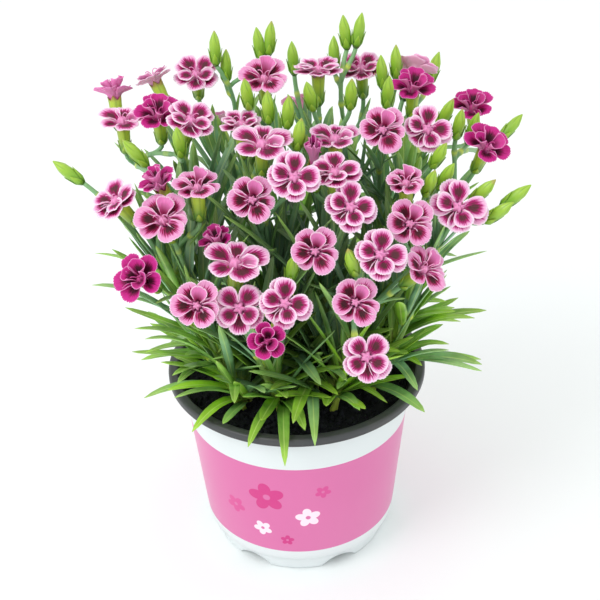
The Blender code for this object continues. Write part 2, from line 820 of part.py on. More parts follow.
def quadratic(leaf, share):
    """Point of a leaf's centre line."""
    rest = 1 - share
    return leaf.root * rest ** 2 + leaf.bend * (2 * rest * share) + leaf.tip * share ** 2


def blade(leaf, spare=0.0):
    """A leaf as a keeled blade that narrows to a point, thicker all round by the spare."""
    run = leaf.tip - leaf.root
    side = Vector((run.y, -run.x, 0.0)).normalized()
    stations = SHORT_LEAF_STATIONS if run.length < SHORT_LEAF else LEAF_STATIONS
    verts = []
    for share, swell in stations:
        centre = quadratic(leaf, share)
        along = (quadratic(leaf, share + 0.02) - centre).normalized()
        up = side.cross(along)
        half = leaf.width / 2 * swell
        verts += [centre - side * (half + spare) + up * spare, centre + side * (half + spare) + up * spare,
                  centre - up * (half * LEAF_KEEL + spare)]
    verts.append(leaf.tip + run.normalized() * spare)
    faces = [(0, 1, 2)]
    last = 3 * (len(stations) - 1)
    for base in range(0, last, 3):
        for k in range(3):
            a, b = base + k, base + (k + 1) % 3
            faces += [(a, b, b + 3), (a, b + 3, a + 3)]
    faces += [(last + k, last + (k + 1) % 3, last + 3) for k in range(3)]
    return verts, faces


def drawn_leaf(root, turn, rise, length, droop, width):
    """A leaf that leaves its stem at a compass direction and angle of rise, then arches over."""
    first = facing(turn, 90 - rise)
    second = facing(turn, 90 - rise + droop)
    bend = root + first * length * LEAF_BEND
    return Leaf(root, bend, bend + second * length * (1 - LEAF_BEND), width)


def stem_leaf(draw, root, turn, tier):
    """Draw a stem leaf: longest near the soil, upright and short near the blooms."""
    length = draw.uniform(*PAIR_LENGTH) * (1 - TIER_SHORTER * tier)
    swing = turn + draw.uniform(-PAIR_SWING, PAIR_SWING)
    rise, droop = draw.uniform(*PAIR_RISE), draw.uniform(*PAIR_DROOP)
    return drawn_leaf(root, swing, rise, length, droop,
                      draw.uniform(*PAIR_WIDTH) * (1 - TIER_NARROWER * tier))


def basal_leaf(draw, root, turn):
    """Draw a leaf of the tuft at a stem's foot, which arches out towards the rim."""
    swing, rise = turn + draw.uniform(-BASAL_SWING, BASAL_SWING), draw.uniform(*BASAL_RISE)
    length, droop = draw.uniform(*BASAL_LENGTH), draw.uniform(*BASAL_DROOP)
    return drawn_leaf(root, swing, rise, length, droop, draw.uniform(*BASAL_WIDTH))


def first_clear(node, draw, make, room):
    """The first of several drawn leaves that is clear of every other node, or none."""
    for _ in range(LEAF_TRIES):
        leaf = make(draw)
        if room.clear(node, *blade(leaf, LEAF_CLEARANCE)):
            return leaf
    return None


def reaching_leaf(root, reach):
    """A long leaf from a stem's foot to the tip that the photograph shows."""
    tip = at_depth(reach.tip, reach.behind)
    span = (tip - root).length
    return Leaf(root, (root + tip) / 2 + Vector((0, 0, span * reach.arch)), tip, reach.width)


def leader_courses(heads):
    """Courses that a main stem may take, the straightest first."""
    head, centre, axis = heads[0]
    return [leader_curve(root_of(heads), head, centre, axis, bow) for bow in BOWS]


def side_courses(heads, index, curves):
    """Courses that a side stalk may take from the nearest head's stalk, the straightest first."""
    head, centre, axis = heads[index]
    spans = [(centre - other[1]).length for other in heads[:index]]
    near = min(range(index), key=spans.__getitem__)
    share = max(FORK_LOW, FORK_HIGH - (FORK_HIGH - FORK_LOW) * spans[near] / FORK_SPAN)
    return [side_curve(curves[near], max(FORK_LOW, share - drop), head, centre, axis, bow)
            for drop in FORK_DROPS for bow in BOWS]


def place_stalks(node, heads, guide, bucket, room):
    """A stem and its side stalks as tubes; each takes the first course that is clear."""
    curves = []
    for index, (head, _, axis) in enumerate(heads):
        courses = side_courses(heads, index, curves) if index else leader_courses(heads)
        root = None if index else root_of(heads)
        for course in courses:
            stations = stalk_stations(course, head, axis, root)
            tube = sweep(node + "_stalk", stations, guide, bucket)
            if room.clear_object(node, tube):
                break
            if course is not courses[-1]:
                bpy.data.objects.remove(tube, do_unlink=True)
        room.add_object(node, tube)
        curves.append(course)
    return curves


def place_leaves(node, curves, bucket, room):
    """The leaves of one stem: long ones first, then tufts at the foot, then pairs up the stem."""
    leader = curves[0]
    leaves = []
    foot = leader[0] + Vector((0, 0, LEAF_FOOT))
    for reach in REACHES.get(node, ()):
        leaf = reaching_leaf(foot, reach)
        if room.clear(node, *blade(leaf, LEAF_CLEARANCE)):
            leaves.append(leaf)
    outward = math.degrees(math.atan2(leader[0].y, leader[0].x))
    for number, (height, turn) in enumerate(zip(BASAL_HEIGHTS, BASAL_TURNS)):
        draw = random.Random(f"{node} foot {number}")
        root, heading = cubic(leader, height), outward + turn
        leaves.append(first_clear(node, draw, lambda d: basal_leaf(d, root, heading), room))
    for number, tier in enumerate(LEAF_TIERS):
        for half in (0, 1):
            draw = random.Random(f"{node} pair {number} {half}")
            root, heading = cubic(leader, tier), outward + PAIR_TURN * number + 180 * half + PAIR_START
            leaves.append(first_clear(node, draw, lambda d: stem_leaf(d, root, heading, tier), room))
    leaves = [leaf for leaf in leaves if leaf]
    for leaf in leaves:
        verts, faces = blade(leaf)
        item = mesh_object(node + "_leaf", verts, faces, bucket)
        room.add_object(node, item)
    return leaves


def build_stems(placed, parts, cutters, room):
    """Every stem with its calyces, buds and leaves, fused into one solid each."""
    green = finish("living_leaf", LEAF_COLOUR, 0.55)
    guide = section_guide(cutters)
    buckets = {node: new_collection(node + "_pieces") for node in placed}
    curves = {node: place_stalks(node, heads, guide, buckets[node], room)
              for node, heads in placed.items()}
    for node in placed:
        place_leaves(node, curves[node], buckets[node], room)
    for node, bucket in buckets.items():
        stem = bucket.objects[0]
        bucket.objects.unlink(stem)
        parts.objects.link(stem)
        stem.name = "leafy_stem_" + node
        stem.data.materials.append(green)
        unite(stem, bucket)


def main():
    """Build the potted plant."""
    clear_scene()
    parts = new_collection("dianthus_plant")
    cutters = new_collection("cutters")
    placed = place_heads()
    room = Room()
    pot = build_pot(parts, cutters)
    soil = build_soil(parts, cutters, [root_of(heads) for heads in placed.values()])
    room.add_object("pot", pot)
    room.add_object("potting_soil", soil)
    for bloom in build_blooms(placed, parts):
        room.add_object(bloom.name, bloom)
    build_stems(placed, parts, cutters, room)


if __name__ == "__main__":
    main()
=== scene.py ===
"""The looks of a dianthus in flower in its 13 cm pot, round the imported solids. Metres, +Z up."""
import logging
import math
import random
from dataclasses import dataclass, field, replace
from enum import Enum

import bpy
import numpy as np
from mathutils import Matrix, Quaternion, Vector


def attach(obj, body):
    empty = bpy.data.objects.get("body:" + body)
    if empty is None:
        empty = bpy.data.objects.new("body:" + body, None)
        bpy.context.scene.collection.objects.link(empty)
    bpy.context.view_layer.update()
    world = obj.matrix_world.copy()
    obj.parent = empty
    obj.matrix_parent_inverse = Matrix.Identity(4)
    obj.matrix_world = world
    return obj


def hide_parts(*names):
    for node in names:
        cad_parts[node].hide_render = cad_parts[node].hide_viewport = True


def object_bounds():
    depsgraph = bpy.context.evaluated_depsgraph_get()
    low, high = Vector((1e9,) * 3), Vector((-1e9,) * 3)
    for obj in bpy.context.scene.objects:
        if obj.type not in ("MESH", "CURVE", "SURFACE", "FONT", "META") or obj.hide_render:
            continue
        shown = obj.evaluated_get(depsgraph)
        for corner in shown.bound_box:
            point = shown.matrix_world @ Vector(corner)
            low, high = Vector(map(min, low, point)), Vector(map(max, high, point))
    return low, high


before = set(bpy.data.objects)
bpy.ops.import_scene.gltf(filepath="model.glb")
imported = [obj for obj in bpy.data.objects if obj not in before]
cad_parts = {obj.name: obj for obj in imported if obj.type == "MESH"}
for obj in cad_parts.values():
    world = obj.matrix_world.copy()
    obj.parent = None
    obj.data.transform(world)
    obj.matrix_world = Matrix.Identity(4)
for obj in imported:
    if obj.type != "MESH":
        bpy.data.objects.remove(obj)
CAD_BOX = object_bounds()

Array = np.ndarray
log = logging.getLogger("dianthus")

MM = 0.001
UP = np.array((0.0, 0.0, 1.0))


# Colours, nodes and meshes

def linear(code: str, alpha: float = 1.0) -> tuple[float, float, float, float]:
    """Turn an sRGB hex colour into linear light.

    Args:
        code: Six hex digits, with or without a leading hash.
        alpha: The fourth value.

    Returns:
        Red, green, blue and alpha, linear.
    """
    digits = code.lstrip("#")
    shares = (int(digits[i:i + 2], 16) / 255 for i in (0, 2, 4))
    red, green, blue = (s / 12.92 if s <= 0.04045 else ((s + 0.055) / 1.055) ** 2.4 for s in shares)
    return red, green, blue, alpha


def pick(sockets: object, key: str | int) -> object:
    """The socket in use that has a name, or a number among those in use."""
    used = [socket for socket in sockets if socket.enabled]
    return used[key] if isinstance(key, int) else next(s for s in used if s.name == key)


def add_node(tree: bpy.types.NodeTree, kind: str, settings: dict | None = None,
             links: dict | None = None) -> bpy.types.Node:
    """Add a shader node with its settings and links.

    Args:
        tree: The material's or world's node tree.
        kind: The node's type, without the leading ShaderNode.
        settings: Its properties first, then inputs by name or number; stops fill a colour ramp.
        links: Inputs by name or number, each fed by a node's first output in use or by a socket.

    Returns:
        The new node.
    """
    node = tree.nodes.new("ShaderNode" + kind)
    for key, value in (settings or {}).items():
        if key == "stops":
            ramp = node.color_ramp
            for _ in range(len(value) - 2):
                ramp.elements.new(0.5)
            for element, (place, colour) in zip(ramp.elements, value):
                element.position, element.color = place, colour
        elif isinstance(key, str) and hasattr(node, key):
            setattr(node, key, value)
        else:
            pick(node.inputs, key).default_value = value
    for key, source in (links or {}).items():
        socket = pick(source.outputs, 0) if isinstance(source, bpy.types.Node) else source
        tree.links.new(socket, pick(node.inputs, key))
    return node


def new_material(name: str) -> tuple[bpy.types.Material, bpy.types.NodeTree, bpy.types.Node]:
    """A material with its tree and its Principled shader."""
    material = bpy.data.materials.new(name)
    material.use_nodes = True
    return material, material.node_tree, material.node_tree.nodes["Principled BSDF"]


def read_values(tree: bpy.types.NodeTree, *names: str) -> list[object]:
    """Sockets that give a mesh's named values."""
    return [pick(add_node(tree, "Attribute", {"attribute_name": name}).outputs, "Fac") for name in names]


def object_place(tree: bpy.types.NodeTree) -> object:
    """The socket that gives the place on the object, in metres."""
    return pick(add_node(tree, "TexCoord").outputs, "Object")


def height_of(tree: bpy.types.NodeTree, place: object) -> object:
    """The socket that gives a place's height."""
    return pick(add_node(tree, "SeparateXYZ", links={0: place}).outputs, "Z")


def combine(tree: bpy.types.NodeTree, *parts: object) -> bpy.types.Node:
    """A vector from two or three sources."""
    return add_node(tree, "CombineXYZ", links=dict(enumerate(parts)))


def length_of(tree: bpy.types.NodeTree, vector: object) -> object:
    """The socket that gives a vector's length."""
    return pick(add_node(tree, "VectorMath", {"operation": "LENGTH"}, {0: vector}).outputs, "Value")


def noise(tree: bpy.types.NodeTree, place: object, scale: float, detail: float,
          roughness: float = 0.5) -> bpy.types.Node:
    """Cloudy noise with a number of cells to the unit of its place."""
    return add_node(tree, "TexNoise", {"Scale": scale, "Detail": detail, "Roughness": roughness},
                    {"Vector": place})


def bump(tree: bpy.types.NodeTree, height: object, strength: float, distance: float) -> bpy.types.Node:
    """Relief from a height, its depth in metres."""
    return add_node(tree, "Bump", {"Strength": strength, "Distance": distance}, {"Height": height})


def calc(tree: bpy.types.NodeTree, operation: str, *terms: object, clamp: bool = False) -> bpy.types.Node:
    """Reckon with values.

    Args:
        tree: The material's node tree.
        operation: What the Math node does.
        terms: Its inputs in order; numbers are set and sources are linked.
        clamp: Whether the result is held between 0 and 1.

    Returns:
        The Math node.
    """
    fixed = {place: term for place, term in enumerate(terms) if isinstance(term, (int, float))}
    return add_node(tree, "Math", {"operation": operation, "use_clamp": clamp, **fixed},
                    {place: term for place, term in enumerate(terms) if place not in fixed})


def ranged(tree: bpy.types.NodeTree, source: object, span: tuple[float, float],
           to: tuple[float, float] = (0.0, 1.0), smooth: bool = False) -> bpy.types.Node:
    """Carry a value from one span to another and hold it there.

    Args:
        tree: The material's node tree.
        source: The value.
        span: Its values that give the two ends.
        to: The two ends.
        smooth: Whether it eases in and out.

    Returns:
        The Map Range node.
    """
    kind = {"interpolation_type": "SMOOTHSTEP"} if smooth else {}
    return add_node(tree, "MapRange", {**kind, "From Min": span[0], "From Max": span[1],
                                       "To Min": to[0], "To Max": to[1]}, {"Value": source})


def blend(tree: bpy.types.NodeTree, factor: object, first: object, second: object) -> bpy.types.Node:
    """Mix two colours.

    Args:
        tree: The material's node tree.
        factor: Share of the second colour, a number or a source.
        first: A hex colour or a source.
        second: A hex colour or a source.

    Returns:
        The Mix node.
    """
    sides = {"Factor": factor, "A": first, "B": second}
    fixed = {key: linear(side) if isinstance(side, str) else side
             for key, side in sides.items() if isinstance(side, (str, float))}
    return add_node(tree, "Mix", {"data_type": "RGBA", **fixed},
                    {key: side for key, side in sides.items() if key not in fixed})


def coat(tree: bpy.types.NodeTree, shader: bpy.types.Node, colour: bpy.types.Node,
         relief: bpy.types.Node, settings: dict) -> None:
    """Give a Principled shader its colour, its relief and its inputs by name."""
    tree.links.new(pick(colour.outputs, 0), shader.inputs["Base Color"])
    tree.links.new(relief.outputs[0], shader.inputs["Normal"])
    for key, value in settings.items():
        shader.inputs[key].default_value = value


@dataclass
class Surface:
    """A mesh as arrays: points, four-cornered and three-cornered faces, and named values at the points."""
    points: Array
    quads: Array
    values: dict[str, Array] = field(default_factory=dict)
    fans: Array = field(default_factory=lambda: np.zeros((0, 3), int))

    @staticmethod
    def joined(parts: list["Surface"]) -> "Surface":
        """Put several surfaces into one, side by side.

        Args:
            parts: Surfaces that carry the same named values.

        Returns:
            One surface.
        """
        starts = np.cumsum([0] + [len(part.points) for part in parts[:-1]])
        return Surface(
            np.concatenate([part.points for part in parts]),
            np.concatenate([part.quads + start for part, start in zip(parts, starts)]),
            {key: np.concatenate([part.values[key] for part in parts]) for key in parts[0].values},
            np.concatenate([part.fans + start for part, start in zip(parts, starts)]))

    def mesh(self, name: str, smooth: bool = True) -> bpy.types.Mesh:
        """Write the arrays into a mesh, with the values as point attributes."""
        made = bpy.data.meshes.new(name)
        made.vertices.add(len(self.points))
        made.vertices.foreach_set("co", self.points.astype(np.float32).ravel())
        made.loops.add(self.quads.size + self.fans.size)
        made.loops.foreach_set("vertex_index", np.concatenate((self.quads.ravel(), self.fans.ravel())))
        made.polygons.add(len(self.quads) + len(self.fans))
        starts = (4 * np.arange(len(self.quads)), self.quads.size + 3 * np.arange(len(self.fans)))
        made.polygons.foreach_set("loop_start", np.concatenate(starts))
        made.update(calc_edges=True)
        made.polygons.foreach_set("use_smooth", np.full(len(made.polygons), smooth))
        for key, value in self.values.items():
            made.attributes.new(key, "FLOAT", "POINT").data.foreach_set("value", value.astype(np.float32))
        return made


def grid_quads(rows: int, columns: int, wrap: bool = False) -> Array:
    """Corner numbers of a grid's faces, counter-clockwise for columns across rows."""
    row = np.arange(rows - 1)[:, None]
    column = np.arange(columns if wrap else columns - 1)[None, :]
    ahead = (column + 1) % columns
    corners = (row * columns + column, row * columns + ahead, (row + 1) * columns + ahead,
               (row + 1) * columns + column)
    return np.stack(np.broadcast_arrays(*corners), -1).reshape(-1, 4)


def unit(vectors: Array) -> Array:
    """Vectors scaled to a length of one."""
    return vectors / np.maximum(np.linalg.norm(vectors, axis=-1, keepdims=True), 1e-12)


def thin_sheet(points: Array, thickness: Array | float, values: dict[str, Array]) -> Surface:
    """Close a grid into a thin solid: a top face, the same face set back along its normals, and a rim.

    Args:
        points: Grid of rows by columns by 3; the columns crossed with the rows give the top's side.
        thickness: How far the underside lies below the top, one value or a grid.
        values: Grids of named values; the value under, 0 on top and 1 below, is added.

    Returns:
        The closed surface.
    """
    rows, columns = points.shape[:2]
    normals = unit(np.cross(np.gradient(points, axis=1), np.gradient(points, axis=0)))
    below = points - normals * np.broadcast_to(thickness, (rows, columns))[..., None]
    faces = grid_quads(rows, columns)
    count = rows * columns
    index = np.arange(count).reshape(rows, columns)
    loop = np.concatenate((index[0, :-1], index[:-1, -1], index[-1, :0:-1], index[:0:-1, 0]))
    ahead = np.roll(loop, -1)
    rim = np.stack((ahead, loop, loop + count, ahead + count), -1)
    both = {key: np.tile(np.broadcast_to(value, (rows, columns)).ravel(), 2)
            for key, value in values.items()}
    both["under"] = np.repeat((0.0, 1.0), count)
    return Surface(np.concatenate((points.reshape(-1, 3), below.reshape(-1, 3))),
                   np.concatenate((faces, faces[:, ::-1] + count, rim)), both)


def tube(rings: Array, values: dict[str, Array]) -> Surface:
    """Close a stack of rings into a solid with a pole at each end.

    Args:
        rings: Grid of rings by steps by 3, the steps counter-clockwise seen from the last ring.
        values: Grids of named values, rings by steps.

    Returns:
        The closed surface.
    """
    rows, steps = rings.shape[:2]
    count = rows * steps
    points = np.concatenate((rings.reshape(-1, 3), rings[[0, -1]].mean(axis=1)))
    step = np.arange(steps)
    ahead = (step + 1) % steps
    first = np.stack((ahead, step, np.full(steps, count)), -1)
    last = np.stack((step + count - steps, ahead + count - steps, np.full(steps, count + 1)), -1)
    spread = {key: np.broadcast_to(value, (rows, steps)) for key, value in values.items()}
    carried = {key: np.concatenate((value.ravel(), value[[0, -1]].mean(axis=1)))
               for key, value in spread.items()}
    return Surface(points, grid_quads(rows, steps, wrap=True), carried, np.concatenate((first, last)))


def show(name: str, surface: Surface, materials: list[bpy.types.Material],
         stands_for: list[str]) -> bpy.types.Object:
    """Make a surface a piece of the object.

    Args:
        name: The piece's name.
        surface: Its mesh as arrays.
        materials: Its finishes.
        stands_for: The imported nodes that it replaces.

    Returns:
        The object, riding on the one body.
    """
    mesh = surface.mesh(name)
    for material in materials:
        mesh.materials.append(material)
    piece = bpy.data.objects.new(name, mesh)
    bpy.context.scene.collection.objects.link(piece)
    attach(piece, "root")
    if stands_for:
        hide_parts(*stands_for)
    log.info("%s: %d faces", name, len(mesh.polygons))
    return piece


# The plant's growth, as the source of the solids gives it

class Kind(Enum):
    """How a head stands: four ways to open, or closed."""
    FOLDED = "folded"
    LAYERED = "layered"
    CUPPED = "cupped"
    OPENING = "opening"
    BUD = "bud"


FOLDED, LAYERED, CUPPED, OPENING, BUD = Kind


@dataclass(frozen=True)
class Head:
    """A bloom or bud: its pixel in the photograph and the direction that it faces, in degrees."""
    kind: Kind
    at: tuple[float, float]
    toward: float = -90
    tilt: float = 30
    nearer: float = 0.0
    width: float = 0.0235


@dataclass(frozen=True)
class Reach:
    """A long leaf: the pixel of its tip, how far the tip lies behind the axis, its arch and width."""
    tip: tuple[float, float]
    behind: float
    arch: float = 0.35
    width: float = 0.0060


@dataclass(frozen=True)
class Leaf:
    """A leaf's centre line as root, bend and tip, with its greatest width."""
    root: Array
    bend: Array
    tip: Array
    width: float


@dataclass(frozen=True)
class Flower:
    """A head in its place: the point it is centred on and the way it faces."""
    head: Head
    centre: Array
    axis: Array


STEMS: dict[str, tuple[Head, ...]] = {
    "far_left": (
        Head(LAYERED, (153, 76), 135, 34, width=0.020),
        Head(CUPPED, (114, 91), 100, 30, 0.006, 0.020),
        Head(LAYERED, (122, 118), -90, 4),
        Head(BUD, (135, 153), -170, 35),
        Head(CUPPED, (158, 113), -90, 18),
        Head(LAYERED, (191, 118), -45, 25),
        Head(BUD, (179, 142), -100, 15),
    ),
    "left": (
        Head(LAYERED, (114, 199), -150, 32),
        Head(CUPPED, (157, 181), -170, 24, -0.004, 0.018),
        Head(FOLDED, (197, 185), -90, 6),
        Head(BUD, (68, 172), 170, 52),
    ),
    "low_left": (
        Head(FOLDED, (162, 218), -110, 30, width=0.027),
        Head(CUPPED, (139, 278), -120, 46),
        Head(FOLDED, (196, 305), -100, 50, 0.007),
    ),
    "top_left": (
        Head(LAYERED, (196, 72), -90, 24),
        Head(FOLDED, (264, 76), -90, 22, width=0.026),
        Head(BUD, (215, 48), 90, 8),
        Head(BUD, (226, 66), 60, 6),
        Head(BUD, (259, 44), 150, 8),
        Head(BUD, (270, 38), 30, 8),
        Head(BUD, (247, 94), -120, 12),
    ),
    "middle_left": (
        Head(LAYERED, (262, 141), -75, 10, width=0.026),
        Head(LAYERED, (241, 122), -100, 4, -0.012, 0.020),
        Head(FOLDED, (252, 199), -90, 50),
        Head(LAYERED, (294, 176), -85, 46, 0.010),
        Head(BUD, (268, 107), -90, 8),
        Head(BUD, (288, 112), -60, 10),
        Head(BUD, (299, 134), -50, 14),
    ),
    "front_left": (
        Head(LAYERED, (235, 260), -75, 12, width=0.026),
        Head(CUPPED, (216, 240), -150, 20, -0.014, 0.016),
        Head(LAYERED, (239, 308), -90, 52),
        Head(LAYERED, (285, 303), -90, 52, 0.005),
        Head(CUPPED, (267, 341), -90, 52, 0.010, 0.017),
        Head(BUD, (292, 268), -60, 20, -0.010),
    ),
    "top_middle": (
        Head(LAYERED, (318, 67), 90, 6, width=0.025),
        Head(LAYERED, (361, 66), -110, 12),
        Head(BUD, (388, 92), -60, 8),
        Head(BUD, (293, 58), 120, 6),
        Head(BUD, (345, 32), 140, 8),
        Head(BUD, (359, 30), 40, 14),
        Head(BUD, (334, 53), 90, 10),
        Head(BUD, (310, 96), -120, 20),
        Head(BUD, (351, 94), -80, 14),
    ),
    "middle_right": (
        Head(LAYERED, (335, 170), -90, 14, 0.002),
        Head(LAYERED, (335, 136), -90, 6, -0.010, 0.021),
        Head(OPENING, (314, 157), -100, 10, -0.008, 0.009),
        Head(LAYERED, (351, 206), -80, 46, 0.004),
        Head(FOLDED, (315, 251), -90, 52),
    ),
    "front_right": (
        Head(LAYERED, (381, 254), -80, 48, 0.006),
        Head(FOLDED, (356, 302), -85, 52),
        Head(LAYERED, (367, 357), -80, 52),
        Head(FOLDED, (426, 268), -40, 42),
        Head(BUD, (352, 262), -130, 20),
    ),
    "top_right": (
        Head(CUPPED, (413, 86), -90, 14),
        Head(LAYERED, (416, 66), 60, 50),
        Head(FOLDED, (383, 129), -90, 50),
        Head(CUPPED, (472, 106), -120, 14),
        Head(BUD, (382, 72), 120, 8, 0.014),
        Head(BUD, (396, 62), 90, 10, 0.006),
        Head(BUD, (434, 68), 30, 20, -0.010),
        Head(BUD, (446, 113), -30, 24),
    ),
    "right": (
        Head(LAYERED, (428, 128), -75, 48),
        Head(CUPPED, (487, 145), -60, 26),
        Head(FOLDED, (406, 181), -100, 14, width=0.019),
        Head(BUD, (459, 124), -60, 14),
        Head(BUD, (473, 128), -20, 16, -0.010),
        Head(BUD, (511, 127), 20, 46),
        Head(BUD, (439, 155), -50, 30),
    ),
    "low_right": (
        Head(LAYERED, (459, 206), -80, 46, width=0.026),
        Head(FOLDED, (411, 223), -80, 50),
        Head(BUD, (430, 183), -60, 24, -0.003),
        Head(BUD, (446, 176), -40, 28, -0.006),
        Head(BUD, (483, 191), -20, 40),
        Head(BUD, (516, 196), 0, 50),
        Head(BUD, (499, 212), -20, 46),
    ),
}

REACHES: dict[str, tuple[Reach, ...]] = {
    "far_left": (Reach((95, 253), 0.010),),
    "left": (Reach((92, 285), -0.020), Reach((110, 257), -0.005, width=0.0075)),
    "low_left": (Reach((144, 398), -0.030), Reach((192, 432), -0.058), Reach((145, 339), -0.050)),
    "middle_left": (Reach((232, 447), -0.072),),
    "front_left": (Reach((285, 466), -0.080), Reach((248, 447), -0.068)),
    "middle_right": (Reach((315, 446), -0.076),),
    "front_right": (Reach((395, 459), -0.066, width=0.0070), Reach((434, 384), -0.045)),
    "right": (Reach((475, 318), 0.0, width=0.0070),),
    "low_right": (Reach((449, 344), -0.025), Reach((449, 350), -0.040, 0.2)),
}

BACK_STEM = "back"
BACK_HEADS = (
    (LAYERED, (-0.038, 0.086, 0.194), 115, 50),
    (FOLDED, (0.006, 0.094, 0.200), 92, 52),
    (LAYERED, (0.050, 0.086, 0.186), 66, 50),
    (BUD, (-0.014, 0.086, 0.222), 95, 30),
)


def compass(toward: float, tilt: float) -> Array:
    """Unit vector tilted from upright towards a compass direction, in degrees."""
    turn, lean = math.radians(toward), math.radians(tilt)
    return np.array((math.sin(lean) * math.cos(turn), math.sin(lean) * math.sin(turn), math.cos(lean)))


@dataclass(frozen=True)
class Sight:
    """The photograph's view: where it looks from, and its sight lines through pixels."""
    centre: float = 300
    focal: float = 1298
    distance: float = 0.640
    elevation: float = math.radians(32.45)
    roll: float = math.radians(1.6)
    target: tuple[float, float, float] = (0.0026, 0.0, 0.1372)
    near: float = 0.48
    step: float = 0.0005
    steps: int = 560

    @property
    def back(self) -> Array:
        """Unit vector from the target towards the eye."""
        return np.array((0.0, -math.cos(self.elevation), math.sin(self.elevation)))

    @property
    def eye(self) -> Array:
        """Where the photograph was taken from."""
        return np.array(self.target) + self.back * self.distance

    def line(self, pixel: tuple[float, float]) -> Array:
        """Unit vector from the eye through a pixel."""
        rise = np.array((0.0, math.sin(self.elevation), math.cos(self.elevation)))
        across, above = pixel[0] - self.centre, self.centre - pixel[1]
        cos, sin = math.cos(self.roll), math.sin(self.roll)
        right = (cos * across + sin * above) / self.focal
        return unit(np.array((right, 0, 0)) + rise * (cos * above - sin * across) / self.focal - self.back)

    def at_depth(self, pixel: tuple[float, float], behind: float) -> Array:
        """The point of a sight line at a distance behind the pot's axis."""
        line = self.line(pixel)
        return self.eye + line * ((behind - self.eye[1]) / line[1])


@dataclass(frozen=True)
class Canopy:
    """The dome that the blooms stand on: its top and how fast it falls to each side."""
    height: float = 0.245
    crest: float = 0.014
    across: float = 3.0
    front: float = 10.0
    back: float = 4.0
    flank_from: float = 0.090
    flank_foot: float = 0.046
    flank_spread: float = 0.42

    def above(self, points: Array) -> Array:
        """How far points lie above the dome: height less the top, plus squared distances."""
        behind = points[..., 1] - self.crest
        slope = np.where(behind > 0, self.back, self.front)
        return points[..., 2] - self.height + self.across * points[..., 0] ** 2 + slope * behind ** 2

    def inner(self, points: Array) -> Array:
        """How far inside the plant points lie: 0 at its flank and just under the blooms, 1 at its heart."""
        flank = self.flank_foot + self.flank_spread * (points[:, 2] - self.flank_from)
        heart = 1 - blend_in(np.hypot(points[:, 0], points[:, 1]) / flank, 0.35, 1.0)
        return heart * blend_in(-self.above(points), 0.012, 0.055)

    def meet(self, head: Head, sight: Sight) -> Array:
        """Where a head's sight line meets the dome, or passes nearest to it."""
        line = sight.line(head.at)
        points = sight.eye + line * (sight.near + sight.step * np.arange(sight.steps))[:, None]
        heights = self.above(points)
        inside = np.flatnonzero(heights <= 0)
        return points[inside[0] if len(inside) else int(np.argmin(heights))] - line * head.nearer


def cubic(course: Array, shares: Array | float) -> Array:
    """Points of a cubic Bezier course at shares of its run."""
    share = np.atleast_1d(np.asarray(shares, float))[:, None]
    rest = 1 - share
    a, b, c, d = course
    return a * rest ** 3 + b * 3 * rest ** 2 * share + c * 3 * rest * share ** 2 + d * share ** 3


def heading(course: Array, share: float) -> Array:
    """Unit tangent of a course at a share of its run."""
    ahead, behind = cubic(course, (min(share + 0.01, 1.0), max(share - 0.01, 0.0)))
    return unit(ahead - behind)


def quadratic(leaf: Leaf, shares: Array) -> Array:
    """Points of a leaf's centre line at shares of its length."""
    share = np.asarray(shares, float)[:, None]
    rest = 1 - share
    return leaf.root * rest ** 2 + leaf.bend * 2 * rest * share + leaf.tip * share ** 2


